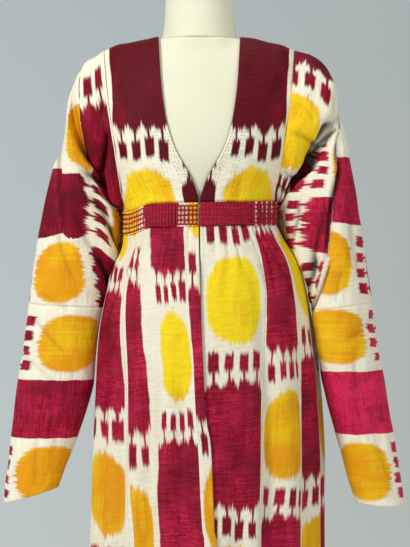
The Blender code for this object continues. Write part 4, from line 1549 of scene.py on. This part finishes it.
def build_robe():
    finish = ikat_material("ikat_cloth")
    gathered = ikat_material("smocked_ikat", 0.6)
    grids = build_upper(finish)
    for name in SKIRT_PANELS:
        skirt = seat(build_skirt_panel(name, finish), "ikat_cloth", "skirt_" + name)
        heading = seat(build_heading(name, gathered), "smocked_cloth", "heading_" + name)
    threads = {name: thread_material(name, *tones) for name, tones in THREADS.items()}
    seat(build_smocking(threads["maroon_thread"]), "smocked_cloth")
    build_edge_stitches(grids, threads["dark_thread"])
    build_edgings(grids, threads["edging"], threads["green_thread"])


# ======== stitches and edgings
# Each thread's two colours
THREADS = {
    "maroon_thread": ((0.44, 0.012, 0.034, 1), (0.27, 0.006, 0.020, 1)),
    "dark_thread": ((0.05, 0.03, 0.025, 1), (0.02, 0.012, 0.01, 1)),
    "green_thread": ((0.05, 0.09, 0.07, 1), (0.03, 0.05, 0.045, 1)),
    "edging": ((0.16, 0.05, 0.04, 1), (0.07, 0.02, 0.02, 1)),
}
DASH_SIDES = 5
DASH_RINGS = ((0.0, 0.45), (0.25, 1.0), (0.75, 1.0), (1.0, 0.45))  # place and thickness
DASH_LIFT = 0.6  # of its radius, off the cloth
DASH_SHARP = 70  # degrees
CORD_SIDES = 6
WANDER_TURN = 3700  # radians a metre, so that each stitch wanders differently,
WANDER_WAY = np.array([0.6, 0.0, 1.0])  # this way


def thread_material(name, colour, other):
    made, tree, shader = new_material(name)
    twist = object_noise(tree, scale=1400.0, detail=1.0)
    feed(tree, shader, {
        "Base Color": mix_colour(tree, twist, colour, other),
        "Roughness": 0.55,
        "Specular IOR Level": 0.3,
        "Normal": bump(tree, twist, distance=0.2 * MM, strength=0.4),
    })
    return made


def mesh_piece(name, points, faces, finish, sharp=40):
    mesh = bpy.data.meshes.new(name)
    mesh.from_pydata([tuple(point) for point in points], [], faces)
    mesh.shade_smooth()
    mesh.set_sharp_from_angle(angle=math.radians(sharp))
    mesh.materials.append(finish)
    return placed(name, mesh)


def tube_faces(rings, sides, start=0):
    """Faces of a closed tube through rings of points."""
    faces = []
    for ring in range(rings - 1):
        low = start + ring * sides
        for step in range(sides):
            after = (step + 1) % sides
            faces.append([low + step, low + after, low + sides + after, low + sides + step])
    last = start + (rings - 1) * sides
    faces.append([start + step for step in reversed(range(sides))])
    faces.append([last + step for step in range(sides)])
    return faces


def rings_piece(name, rings, finish):
    """A closed body through rings of points."""
    return mesh_piece(name, np.concatenate(rings), tube_faces(len(rings), len(rings[0])), finish)


def dashes(name, ends, finish, radius):
    """Short threads, each from one point to another, thicker in the middle."""
    starts, stops, outward = (np.array(part) for part in zip(*ends))
    aside = np.cross(unit(stops - starts), outward)
    rings = []
    for run, size in DASH_RINGS:
        middle = starts + (stops - starts) * run + outward * radius * DASH_LIFT * size
        for side in range(DASH_SIDES):
            angle = TURN * side / DASH_SIDES
            spread = aside * math.cos(angle) + outward * math.sin(angle)
            rings.append(middle + spread * radius * size)
    points = np.stack(rings, axis=1).reshape(-1, 3)
    faces = []
    for dash in range(len(starts)):
        faces += tube_faces(len(DASH_RINGS), DASH_SIDES, dash * len(rings))
    return mesh_piece(name, points, faces, finish, DASH_SHARP)


def sampled(grid, row, col):
    """A point of a grid at fractional indices."""
    row = min(max(row, 0.0), len(grid) - 1.001)
    col = min(max(col, 0.0), len(grid[0]) - 1.001)
    i = int(row)
    j = int(col)
    s = row - i
    t = col - j
    low = grid[i][j] * (1 - t) + grid[i][j + 1] * t
    high = grid[i + 1][j] * (1 - t) + grid[i + 1][j + 1] * t
    return low * (1 - s) + high * s


def line_on(grid, places, count):
    """Points and outward directions along a line given by grid indices."""
    rows, cols = np.array(places, dtype=float).T
    result = []
    for step in np.linspace(0, len(rows) - 1, count):
        row = np.interp(step, range(len(rows)), rows)
        col = np.interp(step, range(len(cols)), cols)
        point = sampled(grid, row, col)
        across = sampled(grid, row, col + 1) - sampled(grid, row, col - 1)
        up = sampled(grid, row + 1, col) - sampled(grid, row - 1, col)
        outward = unit(np.cross(across, up))
        flat = np.array([point[0], point[1], 0.0])
        result.append((point, outward if outward @ flat > 0 else -outward))
    return result


def stitched(line, length, gap, jitter):
    """Dashes along a line of points; lengths in mm."""
    points, directions = (np.array(part) for part in zip(*line))
    run = distances(points, 0)

    def at(place, values):
        return np.array([np.interp(place, run, column) for column in values.T])
    ends = []
    start = 0.0
    while start + length * MM < run[-1]:
        wander = jitter * MM * math.sin(start * WANDER_TURN) * WANDER_WAY
        stop = start + length * MM
        ends.append((at(start, points) + wander, at(stop, points) + wander, at(start, directions)))
        start = stop + gap * MM
    return ends


def corded(name, line, finish, radius, lift):
    """A thin round edging along a line of points."""
    points = [point + outward * lift for point, outward in line]
    rings = []
    for i, point in enumerate(points):
        way = unit(points[min(i + 1, len(points) - 1)] - points[max(i - 1, 0)])
        outward = line[i][1]
        aside = np.cross(way, outward)
        turns = [TURN * side / CORD_SIDES for side in range(CORD_SIDES)]
        rings.append([point + (aside * math.cos(t) + outward * math.sin(t)) * radius for t in turns])
    return rings_piece(name, rings, finish)


# The smocking's threads: radius, height off the cloth, and how uneven they lie
ROW_THREAD = {"radius": 1.85 * MM, "lift": 0.35 * MM, "slant": 0.020, "wander": 0.014,
              "turns": (12.9, 4.1)}
BAR_THREAD = {"radius": 1.8 * MM, "lift": 0.5 * MM, "tilt": 0.25, "turns": (7.3, 2.6)}
ROW_ENDS = (0.02, 0.98)  # each stitch's ends, as shares of the step


def strayed(thread, step, row):
    """From -1 to 1, other for each stitch."""
    step_turn, row_turn = thread["turns"]
    return math.sin(step * step_turn + row * row_turn)


def smocking_stitch(degrees, levels, lift):
    points = heading_surface(np.array(degrees), np.array(levels), lift)
    return points[0], points[1], unit(points.mean(axis=0) * np.array([1, 1, 0]))


def smock(name, rows, bars):
    """Adds the stitches over one heading: rows across it and bars between them."""
    first, last = heading_edges(name)
    count = int((last - first) / (GATHER_DEGREES / 2))
    row_gap = STITCH_SPAN / (STITCH_ROWS - 1)
    for row in range(STITCH_ROWS):
        level = FIRST_STITCH + row_gap * row
        for step in range(count):
            ends = [first + (last - first) * (step + share) / count for share in ROW_ENDS]
            slant = ROW_THREAD["slant"] * (1 if (step + row) % 2 else -1)
            wander = ROW_THREAD["wander"] * strayed(ROW_THREAD, step, row)
            levels = [level - slant + wander, level + slant + wander]
            rows.append(smocking_stitch(ends, levels, ROW_THREAD["lift"]))
            if step % 2 and row < STITCH_ROWS - 1:
                tilt = BAR_THREAD["tilt"] * strayed(BAR_THREAD, step, row)
                ends = [ends[0] - tilt, ends[0] + tilt]
                bars.append(smocking_stitch(ends, [level, level + row_gap], BAR_THREAD["lift"]))


def build_smocking(finish):
    """Five rows of thread run over the gathers, with a bar of thread down each valley."""
    rows = []
    bars = []
    for name in SKIRT_PANELS:
        smock(name, rows, bars)
    return join("smocking_threads", [
        dashes("rows", rows, finish, ROW_THREAD["radius"]),
        dashes("bars", bars, finish, BAR_THREAD["radius"]),
    ])


# How many points are taken along each line
LINE_POINTS = {"quilting": 160, "curve": 120, "neck": 90, "back": 60, "selvedge": 260}
# Rows of quilting beside the V: mesh columns from its edge, and the gap (mm)
NECK_STITCHES = ((1.8, 3.2), (3.7, 4.4), (5.7, 5.2))
NECK_STITCH = (1.5, 0.9)  # length and wander (mm)
# Two curves run from the V out to the waist: mesh columns at the waist, and the curve's
# points as shares of the body's rows and of those columns
CURVE_REACHES = (12.6, 15.1)
STITCH_CURVE = ((0.58, 0.30), (0.45, 0.42), (0.25, 0.70), (0.05, 1.0))
CURVE_STITCH = (1.4, 4.5, 0.7)  # length, gap and wander (mm)
# Stitches down the skirt's fronts: mesh rows, places across as a share of the panel with
# mesh columns less, points along the line, then length, gap and wander (mm)
SKIRT_STITCHES = named_rows("panel row_1 share_1 row_2 share_2 inset count length gap wander", [
    ("front_l", 1, 0.43, 42, 0.33, 0.0, 160, 1.1, 2.4, 0.4),
    ("front_l", 1, 0.10, 27, 0.12, 0.0, 120, 1.1, 2.6, 0.4),
    ("front_r", 1, 1.0, 147, 1.0, 1.2, 400, 1.2, 3.2, 0.3),
])
STITCH_RADIUS = 0.48 * MM
NECK_EDGING = (0.55 * MM, -0.5 * MM)  # radius, and height off the cloth
SELVEDGE_LINE = (0.85 * MM, 0.15 * MM)
SELVEDGE_ROWS = (3, 148)
SELVEDGE_INSET = 0.7


def build_edge_stitches(body_grids, finish):
    """Quilting beside the V and stitches down the skirt's fronts."""
    ends = []
    for side in (-1, 1):
        grid = body_grids[side]
        rows = len(grid) - 1
        length, wander = NECK_STITCH
        for offset, gap in NECK_STITCHES:
            line = line_on(grid, [(0, offset), (rows, offset)], LINE_POINTS["quilting"])
            ends += stitched(line, length, gap, wander)
        for reach in CURVE_REACHES:
            curve = [(rows * up, reach * across) for up, across in STITCH_CURVE]
            ends += stitched(line_on(grid, curve, LINE_POINTS["curve"]), *CURVE_STITCH)
    for row in SKIRT_STITCHES:
        skirt, _, _ = skirt_grid(row["panel"])
        last = len(skirt[0]) - 1
        line = [(row["row_" + end], last * row["share_" + end] - row["inset"]) for end in "12"]
        ends += stitched(line_on(skirt, line, row["count"]), row["length"], row["gap"], row["wander"])
    seat(dashes("edge_stitches", ends, finish, STITCH_RADIUS), "ikat_cloth")


def build_edgings(body_grids, edging, green):
    """A cord round the neckline and a green thread down the right selvedge."""
    ends = [(0, 0), (len(body_grids[1]) - 1, 0)]
    right, left = (line_on(body_grids[side], ends, LINE_POINTS["neck"]) for side in (-1, 1))
    back = body_grids[0]
    centre = (len(back[0]) - 1) / 2
    neck = [(len(back) - 1, centre * (1 + share)) for share in (-NECK_SHARE, 0.0, NECK_SHARE)]
    edge = right + line_on(back, neck, LINE_POINTS["back"]) + left[::-1]
    seat(corded("neck_edging", edge, edging, *NECK_EDGING), "ikat_cloth")
    side, _, _ = skirt_grid("side_r")
    col = len(side[0]) - 1 - SELVEDGE_INSET
    selvedge = line_on(side, [(row, col) for row in SELVEDGE_ROWS], LINE_POINTS["selvedge"])
    seat(corded("selvedge_line", selvedge, green, *SELVEDGE_LINE), "ikat_cloth")


# ======== the dress form
FORM_BUST_ROW = 3  # of the body table; below it the form follows HIPS
FORM_CLEARANCE = 3.2 * MM  # between the form and the cloth,
SHOULDER_CLEARANCE = 2.6 * MM  # and over the shoulders
TORSO_SIDES = 96
TORSO_RINGS = 4  # for each row of its table
COLLAR_START = 1384 * MM  # the chest swells a little to meet the neck
COLLAR_GROWTH = 30 * MM
COLLAR_HALF_WIDTH = 58 * MM
COLLAR_FILL = 9 * MM
# Turned pieces: radius and height (mm) down their outlines
NECK_PROFILE = [
    (0, 1506), (55, 1506), (56.5, 1503), (56, 1480), (57, 1455), (59, 1434),
    (61.5, 1421), (62, 1417.3), (0, 1417.3),
]
CAP_PROFILE = [
    (0, 1546), (7, 1545), (12, 1540), (13, 1534), (9, 1528), (7, 1523), (12, 1520),
    (50, 1518), (55, 1514), (55, 1510), (52, 1506.3), (0, 1506.3),
]
POLE_PROFILE = [(0, 799.7), (14, 799.7), (14, 42.3), (0, 42.3)]
BASE_PROFILE = [
    (0, 42), (24, 42), (27, 38), (28, 20), (38, 12), (150, 9), (172, 6.5), (176, 3),
    (176, 0), (0, 0),
]
TURNED_STEPS = 96
TURNED_SHARP = math.radians(35)


def build_torso(finish):
    rows = [[HIPS[name][i] for name in HIPS] for i in range(len(HIPS["z"]))]
    less = (SHOULDER_CLEARANCE,) + (FORM_CLEARANCE,) * 3
    for i in range(FORM_BUST_ROW, len(BODY["z"])):
        rows.append([BODY[name][i] - gap for name, gap in zip(BODY, less)])
    table = np.array(rows)
    rings = []
    turn = np.arange(TORSO_SIDES) * TURN / TORSO_SIDES
    for row in np.linspace(0, len(table) - 1, TORSO_RINGS * len(table)):
        z, width, front, back = (along(table[:, i], row) for i in range(4))
        depth = np.where(np.cos(turn) >= 0, front, back)
        x = width * signed_power(np.sin(turn), 2 / ROUNDNESS)
        y = -depth * signed_power(np.cos(turn), 2 / ROUNDNESS)
        nearness = smooth_step((z - COLLAR_START) / COLLAR_GROWTH) * (np.cos(turn) > 0)
        y = y - COLLAR_FILL * nearness * smooth_step((COLLAR_HALF_WIDTH - np.abs(x)) / COLLAR_GROWTH)
        rings.append(np.stack([x, y, z + 0 * x], axis=-1))
    return rings_piece("form_torso_cover", rings, finish)


def turned(name, profile, finish):
    points = [(radius * MM, 0, height * MM) for radius, height in profile]
    mesh = bpy.data.meshes.new(name)
    mesh.from_pydata(points, [(i, i + 1) for i in range(len(points) - 1)], [])
    mesh.materials.append(finish)
    made = placed(name, mesh)
    screw = made.modifiers.new("turned", "SCREW")
    screw.steps = TURNED_STEPS
    screw.render_steps = TURNED_STEPS
    screw.use_merge_vertices = True
    screw.merge_threshold = 0.05 * MM
    screw.use_smooth_shade = True
    edge = made.modifiers.new("edge", "EDGE_SPLIT")
    edge.split_angle = TURNED_SHARP
    return made


def varied_material(name, first, second, roughness, scale, stretch=(1, 1, 1), metallic=0.0):
    """Two colours in cloudy noise; stretch makes its grain."""
    made, tree, shader = new_material(name)
    grain = object_noise(tree, scale, detail=4.0, stretch=stretch)
    share = (grain * 2.2 - 0.6).clamped()
    feed(tree, shader, {
        "Base Color": mix_colour(tree, share, first, second),
        "Roughness": grain * 0.15 + (roughness - 0.07),
        "Metallic": metallic,
        "Normal": bump(tree, grain, distance=0.3 * MM, strength=0.5),
    })
    return made


def cover_material():
    """Close jersey of the dress form."""
    made, tree, shader = new_material("form_cover")
    share = (object_noise(tree, scale=9.0) * 1.4 - 0.35).clamped()
    weave = object_noise(tree, scale=900.0, detail=1.0, stretch=(1, 1, 2.2))
    feed(tree, shader, {
        "Base Color": mix_colour(tree, share, (0.80, 0.79, 0.60, 1), (0.73, 0.71, 0.52, 1)),
        "Roughness": 0.85,
        "Specular IOR Level": 0.25,
        "Normal": bump(tree, weave, distance=0.3 * MM, strength=0.35),
    })
    return made


def build_form():
    cover = cover_material()
    wood = varied_material(
        "turned_wood", (0.30, 0.15, 0.06, 1), (0.16, 0.07, 0.03, 1),
        roughness=0.4, scale=30, stretch=(6, 6, 0.6))
    steel = varied_material(
        "pole_steel", (0.55, 0.55, 0.56, 1), (0.42, 0.42, 0.43, 1),
        roughness=0.32, scale=60, stretch=(1, 1, 0.05), metallic=1.0)
    iron = varied_material(
        "painted_iron", (0.03, 0.03, 0.035, 1), (0.05, 0.05, 0.055, 1),
        roughness=0.5, scale=200)
    seat(build_torso(cover), "form_cover", "form_torso")
    seat(turned("form_neck_cover", NECK_PROFILE, cover), "form_cover", "form_neck")
    seat(turned("form_cap_turned", CAP_PROFILE, wood), "turned_wood", "form_cap")
    seat(turned("form_pole_bar", POLE_PROFILE, steel), "pole_steel", "form_pole")
    seat(turned("form_base_plate", BASE_PROFILE, iron), "painted_iron", "form_base")


# ======== stage, lights, camera
STAGE_HALF_WIDTH = 7.0
COVE_START = 3.4  # the floor sweeps up from here, with this radius,
COVE_RADIUS = 3.0
WALL_TOP = 6.0  # to here
COVE_STEPS = 24
# The paper's colours, with painted light: the wearer's right side and the left one, high and low on the
# wall
PAPER_HIGH = ((0.46, 0.517, 0.531, 1), (0.42, 0.461, 0.461, 1))
PAPER_LOW = ((0.590, 0.627, 0.632, 1), (0.473, 0.495, 0.445, 1))
PAPER_SLOPE = 0.45  # how fast the colours change across, for each metre,
PAPER_FALL = 0.28  # and down
PAPER_MIDDLE = 0.65
BACKDROP_PAINTED_GLOW = 0.52  # the paper glows with painted light of its own as well
LIGHTS = named_rows("name place target size power", [
    ("key", (-2.1, -2.1, 2.4), (0, 0, 1.1), 0.7, 67),
    ("fill", (2.2, -2.2, 1.5), (0, 0, 1.0), 1.8, 23),
    ("top", (0.2, -0.2, 3.0), (0, 0, 1.0), 1.4, 14),
])
ROOM_COLOUR = (0.88, 0.89, 0.88, 1)
ROOM_STRENGTH = 0.32

IMAGE_WIDTH = 410
IMAGE_HEIGHT = 547
MM_PER_PIXEL = 1.65
FORM_COLUMN = 199.5  # the photo's column where x is 0,
SHOULDER_ROW = 38  # and its row where z is the height of the shoulders
SHOULDER_Z = 1.42
SENSOR_HEIGHT = 24
CAMERA_DISTANCE = 3.0
CAMERA_HEIGHT = 1.10
CENTRE_X = (IMAGE_WIDTH / 2 - FORM_COLUMN) * MM_PER_PIXEL * MM
CENTRE_Z = SHOULDER_Z - (IMAGE_HEIGHT / 2 - SHOULDER_ROW) * MM_PER_PIXEL * MM


def backdrop_material():
    """Pale paper, painted a little lighter on the left and towards the floor as light would fall on it,
    and glowing with painted light of its own.
    """
    made, tree, shader = new_material("backdrop")
    x, _, z = parts_of(tree, added(tree, "TexCoord", "Object", {}))
    share = (x * PAPER_SLOPE + 0.5).clamped()
    low = (PAPER_MIDDLE - z * PAPER_FALL).clamped()
    high, below = (mix_colour(tree, share, *pair) for pair in (PAPER_HIGH, PAPER_LOW))
    colour = mix_colour(tree, low, high, below)
    feed(tree, shader, {
        "Base Color": colour,
        "Emission Color": colour,
        "Emission Strength": BACKDROP_PAINTED_GLOW,
        "Roughness": 0.9,
    })
    return made


def build_stage():
    """A floor that sweeps up into a wall far behind the robe."""
    side = [(-STAGE_HALF_WIDTH, 0.0)]
    for step in range(COVE_STEPS + 1):
        turn = math.pi / 2 * step / COVE_STEPS
        side.append((COVE_START + COVE_RADIUS * math.sin(turn), COVE_RADIUS * (1 - math.cos(turn))))
    side.append((COVE_START + COVE_RADIUS, WALL_TOP))
    points = [(x, y, z) for y, z in side for x in (-STAGE_HALF_WIDTH, STAGE_HALF_WIDTH)]
    faces = [(2 * i, 2 * i + 1, 2 * i + 3, 2 * i + 2) for i in range(len(side) - 1)]
    mesh_piece("backdrop", points, faces, backdrop_material())


def build_lights():
    for row in LIGHTS:
        light = bpy.data.lights.new(row["name"], "AREA")
        light.size = row["size"]
        light.energy = row["power"]
        made = placed(row["name"], light)
        made.location = row["place"]
        way = Vector(row["target"]) - Vector(row["place"])
        made.rotation_euler = way.to_track_quat("-Z", "Y").to_euler()
    world = bpy.data.worlds.new("studio")
    world.use_nodes = True
    room = world.node_tree.nodes["Background"]
    room.inputs["Color"].default_value = ROOM_COLOUR
    room.inputs["Strength"].default_value = ROOM_STRENGTH
    bpy.context.scene.world = world


def build_camera():
    """A level camera as far off as the photo's; its view is shifted down, not tilted."""
    data = bpy.data.cameras.new("camera")
    view_height = IMAGE_HEIGHT * MM_PER_PIXEL * MM
    data.sensor_fit = "VERTICAL"
    data.sensor_height = SENSOR_HEIGHT
    data.lens = SENSOR_HEIGHT * CAMERA_DISTANCE / view_height
    data.shift_y = (CENTRE_Z - CAMERA_HEIGHT) / view_height
    made = placed("camera", data)
    made.location = (CENTRE_X, -CAMERA_DISTANCE, CAMERA_HEIGHT)
    made.rotation_euler = (math.pi / 2, 0, 0)
    bpy.context.scene.camera = made


build_robe()
build_form()
build_stage()
build_lights()
build_camera()
bpy.context.scene.view_settings.view_transform = "Standard"
